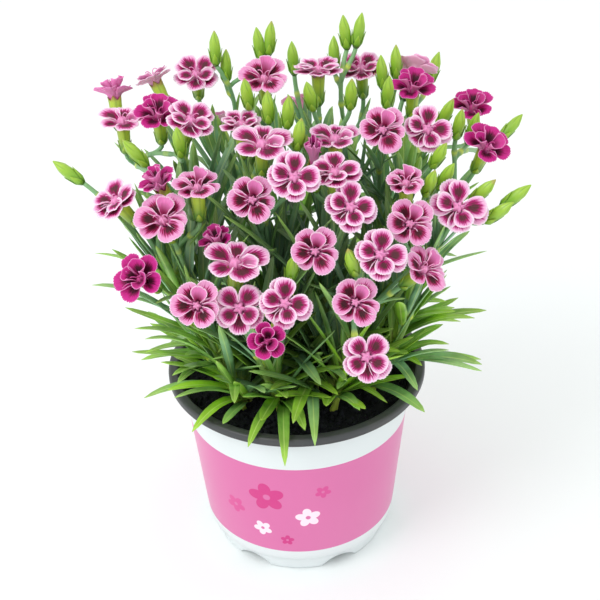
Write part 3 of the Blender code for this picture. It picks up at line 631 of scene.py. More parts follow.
@dataclass
class Stem:
    """One leafy stem: its flowers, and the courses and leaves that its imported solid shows."""
    name: str
    flowers: list[Flower]
    sight: Sight
    soil_foot: float = 0.0923
    stem_radius: float = 0.0015
    stalk_radius: float = 0.0011
    root_spread: float = 0.42
    root_reach: float = 0.041
    upright: float = 0.045
    calyx_length: float = 0.0150
    bud_length: float = 0.0170
    bloom_depth: float = 0.0038
    gap: float = 0.0003
    fork_low: float = 0.14
    fork_high: float = 0.78
    fork_span: float = 0.062
    fork_drops: tuple[float, ...] = (0.0, 0.10, 0.20)
    bows: tuple[float, ...] = (0.0, 0.004, -0.004, 0.008, -0.008, 0.013, -0.013, 0.019, -0.019)
    tiers: tuple[float, ...] = (0.14, 0.34, 0.56)
    basal_heights: tuple[float, float] = (0.02, 0.05)
    basal_turns: tuple[float, float] = (-50, 50)
    tries: int = 14
    bend: float = 0.55
    short_stalk: float = 0.030
    ring_slack: float = 0.0002
    tip_slack: float = 0.00005
    leaf_foot: float = 0.002
    pair_length: tuple[float, float] = (0.046, 0.062)
    pair_swing: float = 35
    pair_rise: tuple[float, float] = (38, 66)
    pair_droop: tuple[float, float] = (20, 60)
    pair_width: tuple[float, float] = (0.0050, 0.0068)
    tier_shorter: float = 0.5
    tier_narrower: float = 0.3
    basal_swing: float = 50
    basal_rise: tuple[float, float] = (30, 62)
    basal_length: tuple[float, float] = (0.046, 0.068)
    basal_droop: tuple[float, float] = (25, 75)
    basal_width: tuple[float, float] = (0.0058, 0.0078)
    courses: list[Array] = field(default_factory=list)
    leaves: list[Leaf] = field(default_factory=list)

    @property
    def node(self) -> str:
        """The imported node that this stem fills."""
        return "leafy_stem_" + self.name

    def grow(self) -> None:
        """Find the stem's courses and leaves: of the rule's tries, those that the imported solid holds."""
        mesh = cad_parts[self.node].data
        solid = np.zeros(len(mesh.vertices) * 3, np.float32)
        mesh.vertices.foreach_get("co", solid)
        solid = solid.reshape(-1, 3)
        for index in range(len(self.flowers)):
            tries = self.side_courses(index) if index else self.leader_courses()
            marks = [self.match(course, index, solid) for course in tries]
            self.courses.append(tries[int(np.argmax(marks))])
        self.leaves = [leaf for leaf in self.drawn_leaves(solid) if leaf]

    def root(self) -> Array:
        """Where the stem enters the soil: below its heads, drawn in towards the pot's axis."""
        spot = np.mean([flower.centre[:2] for flower in self.flowers], axis=0) * self.root_spread
        return spot * min(1.0, self.root_reach / max(np.linalg.norm(spot), self.gap))

    def stalk_end(self, flower: Flower) -> Array:
        """Where a stalk meets its calyx or bud."""
        if flower.head.kind is BUD:
            return flower.centre - flower.axis * (self.bud_length / 2)
        return flower.centre - flower.axis * (self.bloom_depth + self.gap + self.calyx_length)

    def leader_courses(self) -> list[Array]:
        """Courses that the main stem may take, the straightest first."""
        x, y = self.root()
        foot = np.array((x, y, self.soil_foot))
        end = self.stalk_end(self.flowers[0])
        rise = np.linalg.norm(end - foot)
        side, start = unit(np.array((-y, x, 0.0))), unit(np.array((x, y, self.upright)))
        low, high = foot + start * rise * 0.36, end - self.flowers[0].axis * rise * 0.22
        return [np.array((foot, low + side * bow, high + side * bow, end)) for bow in self.bows]

    def side_courses(self, index: int) -> list[Array]:
        """Courses that a side stalk may take from the nearest head's stalk, the straightest first."""
        flower = self.flowers[index]
        spans = [np.linalg.norm(flower.centre - other.centre) for other in self.flowers[:index]]
        near = int(np.argmin(spans))
        share = self.fork_high - (self.fork_high - self.fork_low) * spans[near] / self.fork_span
        share = max(self.fork_low, share)
        return [self.side_course(self.courses[near], max(self.fork_low, share - drop), flower, bow)
                for drop in self.fork_drops for bow in self.bows]

    def side_course(self, parent: Array, share: float, flower: Flower, bow: float) -> Array:
        """A side stalk's course from a share of its parent's to its head, bowed sideways."""
        fork, end = cubic(parent, share)[0], self.stalk_end(flower)
        span = end - fork
        reach = np.linalg.norm(span)
        side = unit(np.cross(span, UP)) * bow
        start = unit(heading(parent, share) + span / reach)
        low, high = fork + start * reach * 0.34 + side, end - flower.axis * reach * 0.30 + side
        return np.array((fork, low, high, end))

    def match(self, course: Array, index: int, solid: Array) -> int:
        """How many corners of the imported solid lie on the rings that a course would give.

        Args:
            course: The course tried.
            index: The head's number; the first is the main stem's.
            solid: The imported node's vertices.

        Returns:
            A count of vertices.
        """
        short = np.linalg.norm(course[3] - course[0]) < self.short_stalk
        spans = 4 if index == 0 else 2 if short else 3
        shares = np.arange(1, spans) / spans
        wide = self.stem_radius if index == 0 else self.stalk_radius
        radii = wide + (self.stalk_radius - wide) * shares
        away = np.linalg.norm(solid[None] - cubic(course, shares)[:, None], axis=-1)
        return int(np.count_nonzero(np.abs(away - radii[:, None]) < self.ring_slack))

    def drawn_leaves(self, solid: Array) -> list[Leaf | None]:
        """The stem's leaves in their order: long ones, tufts at the foot, then pairs up the stem."""
        leader = self.courses[0]
        foot = leader[0] + UP * self.leaf_foot
        found = [self.first_held([self.reaching(foot, reach)], solid)
                 for reach in REACHES.get(self.name, ())]
        outward = math.degrees(math.atan2(leader[0][1], leader[0][0]))
        for number, (height, turn) in enumerate(zip(self.basal_heights, self.basal_turns)):
            draw = random.Random(f"{self.name} foot {number}")
            root = cubic(leader, height)[0]
            tries = [self.basal_leaf(draw, root, outward + turn) for _ in range(self.tries)]
            found.append(self.first_held(tries, solid))
        for number, tier in enumerate(self.tiers):
            for half in (0, 1):
                draw = random.Random(f"{self.name} pair {number} {half}")
                root, turn = cubic(leader, tier)[0], outward + 90 * number + 180 * half + 45
                tries = [self.pair_leaf(draw, root, turn, tier) for _ in range(self.tries)]
                found.append(self.first_held(tries, solid))
        return found

    def first_held(self, tries: list[Leaf], solid: Array) -> Leaf | None:
        """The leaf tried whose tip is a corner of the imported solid, or none."""
        for leaf in tries:
            if np.linalg.norm(solid - leaf.tip, axis=-1).min() < self.tip_slack:
                return leaf
        return None

    def reaching(self, root: Array, reach: Reach) -> Leaf:
        """A long leaf from the stem's foot to the tip that the photograph shows."""
        tip = self.sight.at_depth(reach.tip, reach.behind)
        rise = UP * np.linalg.norm(tip - root) * reach.arch
        return Leaf(root, (root + tip) / 2 + rise, tip, reach.width)

    def arched(self, root: Array, turn: float, rise: float, length: float, droop: float,
               width: float) -> Leaf:
        """A leaf that leaves its stem at a compass direction and angle of rise, then arches over."""
        bend = root + compass(turn, 90 - rise) * length * self.bend
        tip = bend + compass(turn, 90 - rise + droop) * length * (1 - self.bend)
        return Leaf(root, bend, tip, width)

    def pair_leaf(self, draw: random.Random, root: Array, turn: float, tier: float) -> Leaf:
        """Draw a stem leaf: longest near the soil, short near the blooms."""
        length = draw.uniform(*self.pair_length) * (1 - self.tier_shorter * tier)
        swing = turn + draw.uniform(-self.pair_swing, self.pair_swing)
        rise, droop = draw.uniform(*self.pair_rise), draw.uniform(*self.pair_droop)
        width = draw.uniform(*self.pair_width) * (1 - self.tier_narrower * tier)
        return self.arched(root, swing, rise, length, droop, width)

    def basal_leaf(self, draw: random.Random, root: Array, turn: float) -> Leaf:
        """Draw a leaf of the tuft at the foot, which arches out towards the rim."""
        swing = turn + draw.uniform(-self.basal_swing, self.basal_swing)
        rise, length = draw.uniform(*self.basal_rise), draw.uniform(*self.basal_length)
        droop = draw.uniform(*self.basal_droop)
        return self.arched(root, swing, rise, length, droop, draw.uniform(*self.basal_width))


def place_stems(sight: Sight, canopy: Canopy) -> list[Stem]:
    """Every stem with its heads in their places.

    Args:
        sight: The photograph's view.
        canopy: The dome that the heads stand on.

    Returns:
        The stems, the hidden back one last.
    """
    stems = [Stem(name, [Flower(head, canopy.meet(head, sight), compass(head.toward, head.tilt))
                         for head in heads], sight) for name, heads in STEMS.items()]
    hidden = [Flower(Head(kind, (0, 0)), np.array(spot), compass(toward, tilt))
              for kind, spot, toward, tilt in BACK_HEADS]
    return stems + [Stem(BACK_STEM, hidden, sight)]


# Shapes of the plant's pieces

def blend_in(shares: Array, low: float, high: float) -> Array:
    """Smooth step from 0 below the low share to 1 above the high one."""
    share = np.clip((shares - low) / (high - low), 0, 1)
    return share * share * (3 - 2 * share)


def side_frame(path: Array) -> tuple[Array, Array]:
    """Two unit vectors across a path at each point, from its points' differences."""
    along = unit(np.gradient(path, axis=0))
    chord = np.abs(path[-1] - path[0])
    fixed = np.eye(3)[int(np.argmin(chord))]
    first = unit(np.cross(along, fixed))
    return first, np.cross(along, first)


def round_tube(path: Array, radii: Array, steps: int, values: dict[str, Array]) -> Surface:
    """Carry a circle of changing radius along a path.

    Args:
        path: Points along the middle.
        radii: A radius for each point, or a grid of points by steps.
        steps: How many points go round.
        values: Named values, points by steps or points by 1.

    Returns:
        The closed tube.
    """
    first, second = side_frame(path)
    turn = 2 * np.pi * np.arange(steps) / steps
    ring = first[:, None] * np.cos(turn)[None, :, None] + second[:, None] * np.sin(turn)[None, :, None]
    reach = np.broadcast_to(radii if radii.ndim == 2 else radii[:, None], (len(path), steps))
    return tube(path[:, None] + ring * reach[..., None], values)


@dataclass(frozen=True)
class LeafShape:
    """A channelled blade: it swells from its sheath, is widest below the middle, and ends in a point."""
    rows: int = 13
    columns: int = 5
    channel: float = 0.42
    thickness: float = 0.00045
    least_thickness: float = 0.00006
    full_from: float = 0.0012
    twist: float = 0.35
    shares: tuple[float, ...] = (0.0, 0.12, 0.38, 0.74, 0.92, 1.0)
    swells: tuple[float, ...] = (0.42, 0.64, 1.0, 0.84, 0.46, 0.04)

    def surface(self, leaf: Leaf, draw: random.Random) -> Surface:
        """The blade over its centre line: half-width by share, edges raised by the square of the way out.

        Args:
            leaf: The centre line and width.
            draw: Gives the blade's twist and its tint.

        Returns:
            The closed blade.
        """
        share = np.linspace(0, 1, self.rows) ** 0.9
        across = np.linspace(-1, 1, self.columns)
        middle = quadratic(leaf, share)
        along = unit(np.gradient(middle, axis=0))
        run = leaf.tip - leaf.root
        level = unit(np.array((run[1], -run[0], 0.0)) + 1e-9)
        side = unit(level - along * (along @ level)[:, None])
        up = np.cross(side, along)
        twist = draw.uniform(-self.twist, self.twist) * share
        turned = side * np.cos(twist)[:, None] + up * np.sin(twist)[:, None]
        raised = np.cross(turned, along)
        half = leaf.width / 2 * np.interp(share, self.shares, self.swells)
        lift = half[:, None] * (self.channel * (across ** 2 - 1) * (1 - 0.5 * share[:, None]))
        points = middle[:, None] + turned[:, None] * (half[:, None] * across)[..., None]
        points = points + raised[:, None] * lift[..., None]
        full = np.minimum(1, half / self.full_from)[:, None]
        thick = self.thickness * (1 - 0.72 * across ** 2) * full + self.least_thickness
        values = {"along": np.repeat(share[:, None], self.columns, 1),
                  "across": np.repeat(across[None], self.rows, 0),
                  "tint": np.full((self.rows, self.columns), draw.random())}
        return thin_sheet(points, thick, values)


@dataclass(frozen=True)
class StalkShape:
    """A round stalk that thins upwards, with a swollen joint wherever a pair of leaves sits."""
    steps: int = 8
    spacing: float = 0.0024
    joint_gap: float = 0.021
    joint_swell: float = 0.00050
    joint_length: float = 0.0016

    def joints(self, length: float) -> Array:
        """Shares of a stalk's run at which its joints sit, evenly spaced from its foot."""
        count = max(1, round(length / self.joint_gap))
        return (np.arange(count) + 0.5) / count if count > 1 else np.array((0.45,))

    def surface(self, course: Array, foot: float, head: float, tint: float) -> Surface:
        """A tube along the course: radius falls evenly, plus a bell curve at each joint.

        Args:
            course: The stalk's cubic course.
            foot: Radius at its start.
            head: Radius at its end.
            tint: The stalk's own shade.

        Returns:
            The closed stalk.
        """
        chords = np.diff(cubic(course, np.linspace(0, 1, 20)), axis=0)
        length = float(np.linalg.norm(chords, axis=-1).sum())
        rows = max(8, int(length / self.spacing))
        share = np.linspace(0, 1, rows)
        path = cubic(course, share)
        away = (share[:, None] - self.joints(length)) * length / self.joint_length
        joint = np.exp(-away ** 2).max(axis=1)
        radii = foot + (head - foot) * share + self.joint_swell * joint * (1.5 - 0.7 * share)
        values = {"along": share[:, None], "joint": joint[:, None], "tint": np.full((rows, 1), tint)}
        return round_tube(path, radii, self.steps, values)


@dataclass(frozen=True)
class CalyxShape:
    """A ribbed green tube with five pointed teeth, and two pairs of short scales hugging its foot."""
    length: float = 0.0150
    foot: float = 0.0013
    low: float = 0.0026
    top: float = 0.0031
    tooth: float = 0.0024
    teeth: int = 5
    steps: int = 30
    wall: float = 0.0003
    scales: int = 4
    scale_columns: int = 5
    scale_thickness: float = 0.00022
    scale_reach: tuple[float, ...] = (0.0014, 0.0029, 0.0032, 0.0035)

    def surface(self, foot: Array, axis: Array, tint: float) -> Surface:
        """The calyx from a stalk's end: rings up the outside, over the toothed edge and down the inside.

        Args:
            foot: Where the stalk ends.
            axis: Unit vector towards the bloom.
            tint: The calyx's own shade.

        Returns:
            The closed calyx with its scales.
        """
        rise = np.array((0, 0.05, 0.16, 0.34, 0.56, 0.78, 0.93, 1.0, 1.0, 0.9, 0.7))
        reach = np.array((self.foot, self.low * 0.86, self.low, self.low * 1.06, self.low * 1.12, self.top,
                          self.top, self.top, self.top - self.wall, self.top - self.wall, self.low))
        edge = np.array((0, 0, 0, 0, 0, 0.12, 0.5, 1.0, 1.0, 0.4, 0))
        turn = 2 * np.pi * np.arange(self.steps) / self.steps
        comb = 1 - np.abs((turn * self.teeth / (2 * np.pi)) % 1 * 2 - 1)
        height = rise[:, None] * self.length + self.tooth * edge[:, None] * (comb ** 1.2 - 0.35)
        flare = 1 + 0.16 * edge[:, None] * comb
        ribs = 1 + 0.018 * np.cos(turn * self.teeth * 4)
        folds = np.tile(np.sin(turn * self.teeth), (len(rise), 1)) * 0.85
        return self.placed(foot, axis, height, reach[:, None] * flare * ribs, folds, turn, tint)

    def placed(self, foot: Array, axis: Array, height: Array, reach: Array, folds: Array, turn: Array,
               tint: float) -> Surface:
        """Stand rings of heights and radii on an axis and add the scales."""
        first = unit(np.cross(axis, (0.31, 0.95, 0.05)))
        second = np.cross(axis, first)
        out = first * np.cos(turn)[:, None] + second * np.sin(turn)[:, None]
        rings = foot + axis * height[..., None] + out * reach[..., None]
        rows, steps = height.shape
        # The value across follows the folds; the finish paints shade where it nears -1.
        values = {"along": height / self.length, "across": folds,
                  "tint": np.full((rows, steps), tint), "under": np.zeros((rows, steps))}
        return Surface.joined([tube(rings, values)] + [self.scale(foot, axis, first, second, number, tint)
                                                       for number in range(self.scales)])

    def scale(self, foot: Array, axis: Array, first: Array, second: Array, number: int,
              tint: float) -> Surface:
        """A pointed scale hugging the foot: it widens fast, then narrows to a tip that stands off."""
        share = np.array((0.0, 0.3, 0.62, 0.86, 1.0))
        across = np.linspace(-1, 1, self.scale_columns)
        grid = (len(share), self.scale_columns)
        spread = np.interp(share, (0, 0.35, 1), (0.62, 0.80, 0.05))[:, None] * across
        angle = number * np.pi / 2 + 0.3 + spread
        reach = np.interp(share, (0, 0.3, 0.8, 1), self.scale_reach)[:, None]
        rise = (share * self.length * (0.40 if number % 2 else 0.52) - 0.0004)[:, None]
        out = first * np.cos(angle)[..., None] + second * np.sin(angle)[..., None]
        hugging = reach * (1 - 0.05 * across ** 2)
        points = foot + axis * (rise + 0 * angle)[..., None] + out * hugging[..., None]
        # The value across falls to -1 at the scale's edges, where the finish paints shade.
        values = {"along": np.repeat(share[:, None] * 0.85, self.scale_columns, 1),
                  "across": np.tile(1 - 2 * np.abs(across), (len(share), 1)), "tint": np.full(grid, tint)}
        return thin_sheet(points, self.scale_thickness, values)


@dataclass(frozen=True)
class BudShape(CalyxShape):
    """A closed bud: a spindle of five folded teeth that twist to a point."""
    length: float = 0.0170
    widest: float = 0.0028
    rings: int = 16
    scale_reach: tuple[float, ...] = (0.0013, 0.0028, 0.0033, 0.0036)
    shares: tuple[float, ...] = (0, 0.06, 0.18, 0.48, 0.70, 0.86, 0.95, 1)
    swells: tuple[float, ...] = (0.40, 0.66, 0.84, 1, 0.86, 0.50, 0.24, 0.08)

    def surface(self, foot: Array, axis: Array, tint: float) -> Surface:
        """The bud from a stalk's end: radius by share, with five lobes that turn towards the tip."""
        share = np.linspace(0, 1, self.rings) ** 0.92
        swell = np.interp(share, self.shares, self.swells)[:, None]
        turn = 2 * np.pi * np.arange(self.steps) / self.steps
        folds = np.cos(self.teeth * (turn + 1.3 * share[:, None])) * blend_in(share, 0.30, 0.8)[:, None]
        height = np.repeat((share * self.length)[:, None], self.steps, 1)
        reach = swell * self.widest * (1 + 0.09 * folds)
        return self.placed(foot, axis, height, reach, folds, turn, tint)


@dataclass(frozen=True)
class Petal:
    """A petal in its bloom's frame: degrees, reach as a share of the bloom's radius, heights in mm."""
    angle: float
    reach: float
    spread: float = 40
    middle: float = 2.7
    edge: float = 3.8
    cup: float = 0.0
    lean: float = 0.0
    plain: float = 0.0
    toothed: float = 1.0


@dataclass(frozen=True)
class PetalShape:
    """A wedge-shaped petal on a narrow claw, with a finely toothed outer edge."""
    rows: tuple[float, ...] = (0.0, 0.13, 0.28, 0.44, 0.60, 0.75, 0.88, 1.0)
    columns: int = 27
    claw: float = 0.0012
    throat: float = -0.0018
    flare: float = 0.36
    roundness: float = 2.8
    shoulder: float = 0.34
    tooth: float = 0.00060
    ruffle: float = 0.00030
    overlap: float = 0.00035
    thickness: float = 0.00022

    def surface(self, petal: Petal, radius: float, draw: random.Random) -> Surface:
        """The petal: radius by angle is a rounded wedge less its teeth; height climbs the claw, then opens.

        Args:
            petal: Where it stands and how it is held.
            radius: The bloom's radius in metres.
            draw: Gives the teeth, ruffles and tint.

        Returns:
            The closed petal.
        """
        share = np.array(self.rows)[:, None]
        across = np.linspace(1, -1, self.columns)[None]
        outline = self.outline(petal, radius, across, draw)
        reach = self.claw + share * (outline - self.claw)
        angle = np.radians(petal.angle + petal.spread * across * (0.94 + 0.06 * share))
        open_out = blend_in(share, 0, self.flare)
        height = self.throat + (petal.middle * MM - self.throat) * open_out
        height = height + (petal.edge - petal.middle) * MM * np.clip((share - 0.25) / 0.75, 0, 1) ** 1.4
        waves = np.sin(np.pi * (draw.uniform(2.0, 3.2) * across + draw.uniform(0, 2)))
        height = height + self.ruffle * waves * share ** 3 + self.overlap * across * open_out
        height = height + petal.cup * MM * across ** 2 * share ** 1.5 + petal.lean * MM * across * share
        points = np.stack((reach * np.cos(angle), reach * np.sin(angle), height), -1)
        shape = reach.shape
        values = {"along": np.broadcast_to(share, shape), "across": np.broadcast_to(across, shape),
                  "rim": self.rim_distance(points) / MM, "tint": np.full(shape, draw.random()),
                  "plain": np.full(shape, petal.plain)}
        return thin_sheet(points, self.thickness, values)

    def outline(self, petal: Petal, radius: float, across: Array, draw: random.Random) -> Array:
        """Reach of the edge by column: a superellipse in angle, with a tooth at every second one."""
        rounded = (1 - np.abs(across * 0.985) ** self.roundness) ** 0.5
        profile = self.shoulder + (1 - self.shoulder) * rounded
        depths = np.array([draw.uniform(0.25, 1.0) for _ in range(self.columns)])
        teeth = depths * (np.arange(self.columns) % 2) * self.tooth * petal.toothed
        return radius * petal.reach * profile - teeth * np.clip(1.4 - np.abs(across), 0, 1)

    def rim_distance(self, points: Array) -> Array:
        """Distance from each point of the grid to the nearest point of the outer edge and sides."""
        sides = np.concatenate((points[-1], points[3:, 0], points[3:, -1]))
        return np.linalg.norm(points[:, :, None] - sides, axis=-1).min(axis=-1)


@dataclass(frozen=True)
class BloomPlan:
    """How one kind of bloom holds its petals, the lowest first."""
    petals: tuple[Petal, ...]
    jitter: float = 7.0


def layered_plan(inner: tuple[tuple[float, float], ...],
                 outer: tuple[tuple[float, float], ...]) -> BloomPlan:
    """A flat double bloom: outer petals whose pale rims peek out from under the rounded inner ones."""
    under = tuple(Petal(angle, reach, 39, 2.4, 3.3, 0.2) for angle, reach in outer)
    over = tuple(Petal(angle, reach, 41, 4.2, 5.8, -0.4, toothed=0.6) for angle, reach in inner)
    return BloomPlan(under + over, 4.0)


PLANS: dict[str, BloomPlan] = {
    "cross": layered_plan(((164, 0.86), (-78, 0.82), (-6, 0.93), (88, 0.92)),
                          ((106, 1.0), (174, 1.0), (-136, 0.92), (-92, 1.0), (-20, 1.04))),
    "saltire": layered_plan(((130, 0.89), (-148, 0.83), (-32, 0.84), (48, 0.92)),
                            ((144, 1.0), (38, 1.02), (-86, 0.98), (-150, 1.02), (-38, 1.04))),
    "open": BloomPlan((
        Petal(84, 0.90, 40, 2.8, 4.2), Petal(216, 0.98, 42, 2.4, 3.2), Petal(148, 1.12, 42, 3.2, 4.8, 0.3),
        Petal(12, 1.14, 42, 3.4, 5.0, 0.3), Petal(-66, 1.08, 44, 3.0, 4.0),
        Petal(-20, 0.84, 24, 4.2, 5.4, 0.4, 1.2, plain=0.6),
    ), 4.0),
    "folded": BloomPlan((
        Petal(222, 0.86, 38, 2.4, 3.2), Petal(-12, 0.80, 36, 2.6, 3.4), Petal(120, 0.96, 42, 2.8, 4.4),
        Petal(48, 0.98, 42, 3.1, 5.0), Petal(182, 0.95, 42, 3.8, 5.4, 0.4), Petal(-62, 1.0, 42, 3.6, 4.6),
        Petal(-18, 0.88, 28, 3.4, 4.0, 0.2), Petal(66, 0.67, 41, 5.2, 8.0, 0.5, 1.2, plain=1.0),
    )),
    "cupped": BloomPlan((
        Petal(36, 1.0, 38, 3.0, 5.2, 0.4), Petal(108, 0.96, 38, 3.2, 6.4, 0.5),
        Petal(180, 1.0, 38, 3.0, 5.4, 0.4), Petal(252, 0.98, 38, 2.8, 4.6, 0.3),
        Petal(324, 1.0, 38, 2.8, 4.8, 0.3),
        Petal(72, 0.66, 50, 5.4, 9.0, 0.7, toothed=0.6), Petal(168, 0.60, 48, 5.2, 8.4, 0.8, toothed=0.6),
        Petal(-44, 0.62, 54, 5.2, 9.2, 0.9, 0.6, plain=0.85, toothed=0.6),
    ), 12.0),
    "opening": BloomPlan((
        Petal(36, 0.95, 40, 5.6, 10.6, 1.2), Petal(108, 0.85, 40, 6.0, 12.0, 1.4),
        Petal(180, 0.95, 40, 5.6, 10.8, 1.2), Petal(252, 0.80, 40, 5.8, 11.6, 1.2),
        Petal(324, 0.90, 40, 5.6, 11.0, 1.2), Petal(60, 0.40, 60, 8.0, 14.6, 1.6),
    ), 14.0),
}

SALTIRES = (1, 5, 12, 15, 20, 23, 24, 32, 45)
OPEN_ONES = (3, 14, 18, 26)
HEART_REACH = (0.0014, 0.0023, 0.0024, 0.0018, 0.0010, 0.0003)
HEART_RISE = (-0.0022, 0.0004, 0.0022, 0.0036, 0.0042, 0.0044)


@dataclass
class Bloom:
    """One open flower: its petals by plan, and the two curled styles of its throat."""
    number: int
    flower: Flower
    depth: float = 0.0038
    heart_steps: int = 20
    style_points: int = 9
    style_foot: float = 0.0036
    style_length: float = 0.0042
    style_radius: float = 0.00022

    @property
    def node(self) -> str:
        """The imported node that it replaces."""
        return f"bloom_{self.number:02d}"

    def plan(self) -> BloomPlan:
        """The plan for the bloom's kind; flat double blooms take turns between two."""
        kind = self.flower.head.kind
        if kind is not LAYERED:
            return PLANS[kind.value]
        if self.number in SALTIRES:
            return PLANS["saltire"]
        return PLANS["open" if self.number in OPEN_ONES else "cross"]

    def surface(self, shape: PetalShape) -> Surface:
        """All petals, turned into the bloom's place."""
        draw = random.Random(self.node + " petals")
        plan, radius = self.plan(), self.flower.head.width / 2
        parts = []
        for petal in plan.petals:
            moved = Petal(petal.angle + draw.uniform(-plan.jitter, plan.jitter),
                          petal.reach * draw.uniform(0.95, 1.04), petal.spread * draw.uniform(0.95, 1.05),
                          petal.middle, petal.edge + draw.uniform(-0.3, 0.3), petal.cup, petal.lean,
                          petal.plain, petal.toothed)
            parts.append(shape.surface(moved, radius, draw))
        parts += [self.heart()] + [self.style(side, draw) for side in (-1, 1)]
        whole = Surface.joined(parts)
        whole.points = self.placed(whole.points)
        return whole

    def placed(self, points: Array) -> Array:
        """Points from the bloom's own frame: its first direction is the photograph's right."""
        axis = self.flower.axis
        right = unit(np.array((1.0, 0.0, 0.0)) - axis * axis[0])
        frame_of = np.array((right, np.cross(axis, right), axis))
        return self.flower.centre - axis * self.depth + points @ frame_of

    def heart(self) -> Surface:
        """The bundled claws that close the throat: a low dome with five folds round it."""
        reach = np.array(HEART_REACH)[:, None] * (1.0 if self.flower.head.kind is LAYERED else 0.72)
        rise = np.array(HEART_RISE)[:, None]
        turn = 2 * np.pi * np.arange(self.heart_steps) / self.heart_steps
        folded = reach * (1 + 0.28 * np.cos(5 * turn + 0.6) * (rise > 0))
        rings = np.stack((folded * np.cos(turn), folded * np.sin(turn), rise + 0 * turn), -1)
        return tube(rings, {**self.throat_values(len(rise)), "across": np.cos(5 * turn)[None]})

    @staticmethod
    def throat_values(rows: int) -> dict[str, Array]:
        """Values that give the throat's colour: no way along the petal, and far from its rim."""
        same = {"along": 0.0, "across": 0.0, "rim": 4.0, "tint": 0.5, "plain": -1.0, "under": 0.0}
        return {key: np.full((rows, 1), value) for key, value in same.items()}

    def style(self, side: int, draw: random.Random) -> Surface:
        """A thread that rises from the throat and curls over: a quarter turn outwards."""
        share = np.linspace(0, 1, self.style_points)
        curl = draw.uniform(1.6, 2.6) * share
        turn = draw.uniform(-0.5, 0.5) + (0 if side > 0 else np.pi)
        out = 0.0003 + self.style_length * 0.42 * (1 - np.cos(curl))
        rise = self.style_foot + self.style_length * np.sin(curl) * 0.8
        path = np.stack((out * math.cos(turn), out * math.sin(turn), rise), -1)
        radii = np.full(self.style_points, self.style_radius)
        return round_tube(path, radii, 5, self.throat_values(self.style_points))


# Finishes of the plant

@dataclass(frozen=True)
class PetalFinish:
    """Living petal tissue, grown: matt velvet cells, a dark eye that frays outwards, a pale rim."""
    name: str
    eye: str
    eye_ring: str
    field_near: str
    field_far: str
    rim: str
    throat: str
    back: str
    folded: str
    eye_at: float
    eye_long: float
    eye_wide: float
    fray: float
    rim_width: float
    roughness: float = 0.62
    streaks: float = 14.0
    streak_drift: float = 1.4
    vein_lines: float = 44.0
    petal_apart: float = 83.0

    def material(self) -> bpy.types.Material:
        """Colour by zones round the eye on the upper side, paler and plainer on the underside."""
        material, tree, shader = new_material(self.name)
        along, across, rim, under, tint, plain = read_values(
            tree, "along", "across", "rim", "under", "tint", "plain")
        apart = calc(tree, "MULTIPLY", tint, self.petal_apart)
        fine = calc(tree, "MULTIPLY", across, self.streaks)
        slow = calc(tree, "MULTIPLY", along, self.streak_drift)
        streak = noise(tree, combine(tree, fine, slow, apart), 1.0, 3.0, 0.6)
        edge = ranged(tree, rim, (self.rim_width * 0.15, self.rim_width * 1.75), (1.0, 0.0), smooth=True)
        deep = calc(tree, "MULTIPLY_ADD", streak, 0.12, along)
        claw = ranged(tree, deep, (0.20, 0.30), (1.0, 0.0), smooth=True)
        rimmed = blend(tree, edge, self.zones(tree, along, across, streak, apart), self.rim)
        blush = blend(tree, ranged(tree, deep, (0.25, 0.75)), self.eye_ring, self.folded)
        folded = blend(tree, edge, blush, self.rim)
        throated = blend(tree, claw, rimmed, self.throat)
        upper = blend(tree, ranged(tree, plain, (0.0, 1.0), (0.0, 0.85)), throated, folded)
        lower = blend(tree, claw, blend(tree, 0.80, folded, self.back), self.throat)
        coat(tree, shader, blend(tree, under, upper, lower), bump(tree, streak, 0.25, 0.00012), {
            "Roughness": self.roughness, "Subsurface Weight": 0.30, "Subsurface Radius": (1.0, 0.5, 0.7),
            "Subsurface Scale": 0.0009, "Specular IOR Level": 0.3})
        return material

    def zones(self, tree: bpy.types.NodeTree, along: object, across: object, streak: object,
              apart: object) -> bpy.types.Node:
        """Colour by distance from the eye, frayed by noise that runs along the petal.

        Args:
            tree: The material's node tree.
            along: Share of the way out along the petal.
            across: Share of the way to its sides.
            streak: Noise that frays the eye.
            apart: A shift that sets each petal's noise apart.

        Returns:
            The node that gives the colour.
        """
        shifted = calc(tree, "SUBTRACT", along, self.eye_at)
        away = length_of(tree, combine(tree, calc(tree, "DIVIDE", shifted, self.eye_long),
                                       calc(tree, "DIVIDE", across, self.eye_wide)))
        total = calc(tree, "ADD", away, ranged(tree, streak, (0.32, 0.68), (-self.fray / 2, self.fray / 2)))
        zones = add_node(tree, "ValToRGB", {"stops": (
            (0.25, linear(self.eye)), (0.39, linear(self.eye_ring)), (0.465, linear(self.eye_ring)),
            (0.55, linear(self.field_near)), (0.70, linear(self.field_far)))},
            {"Fac": calc(tree, "MULTIPLY", total, 0.5)})
        lines = calc(tree, "MULTIPLY", across, self.vein_lines)
        veins = noise(tree, combine(tree, lines, along, apart), 1.0, 2.0)
        return blend(tree, ranged(tree, veins, (0.48, 0.72), (0.0, 0.30)), zones, self.eye_ring)


PETAL_FINISHES: dict[str, PetalFinish] = {
    "pale_rimmed": PetalFinish("petal_tissue_pale_rimmed", "#4c2328", "#a0095f", "#d06cab", "#eeb8d8",
                               "#f8dcec", "#e897c6", "#ffbfe0", "#df8cbd", 0.485, 0.305, 0.74, 0.60, 0.60),
    "pink": PetalFinish("petal_tissue_pink", "#2f0b10", "#920d49", "#cf5fa0", "#e6a1ca", "#f6d2e5",
                        "#ea9ac6", "#fbb2d8", "#dd7ab5", 0.43, 0.28, 0.84, 0.75, 0.34),
    "magenta": PetalFinish("petal_tissue_magenta", "#33061a", "#780a49", "#a60f69", "#c4288a", "#e08cbe",
                           "#d2559b", "#ea93c6", "#cc4897", 0.38, 0.28, 0.82, 0.75, 0.17),
}

KIND_FINISH: dict[Kind, str] = {
    LAYERED: "pale_rimmed", FOLDED: "pink", CUPPED: "magenta", OPENING: "magenta"}


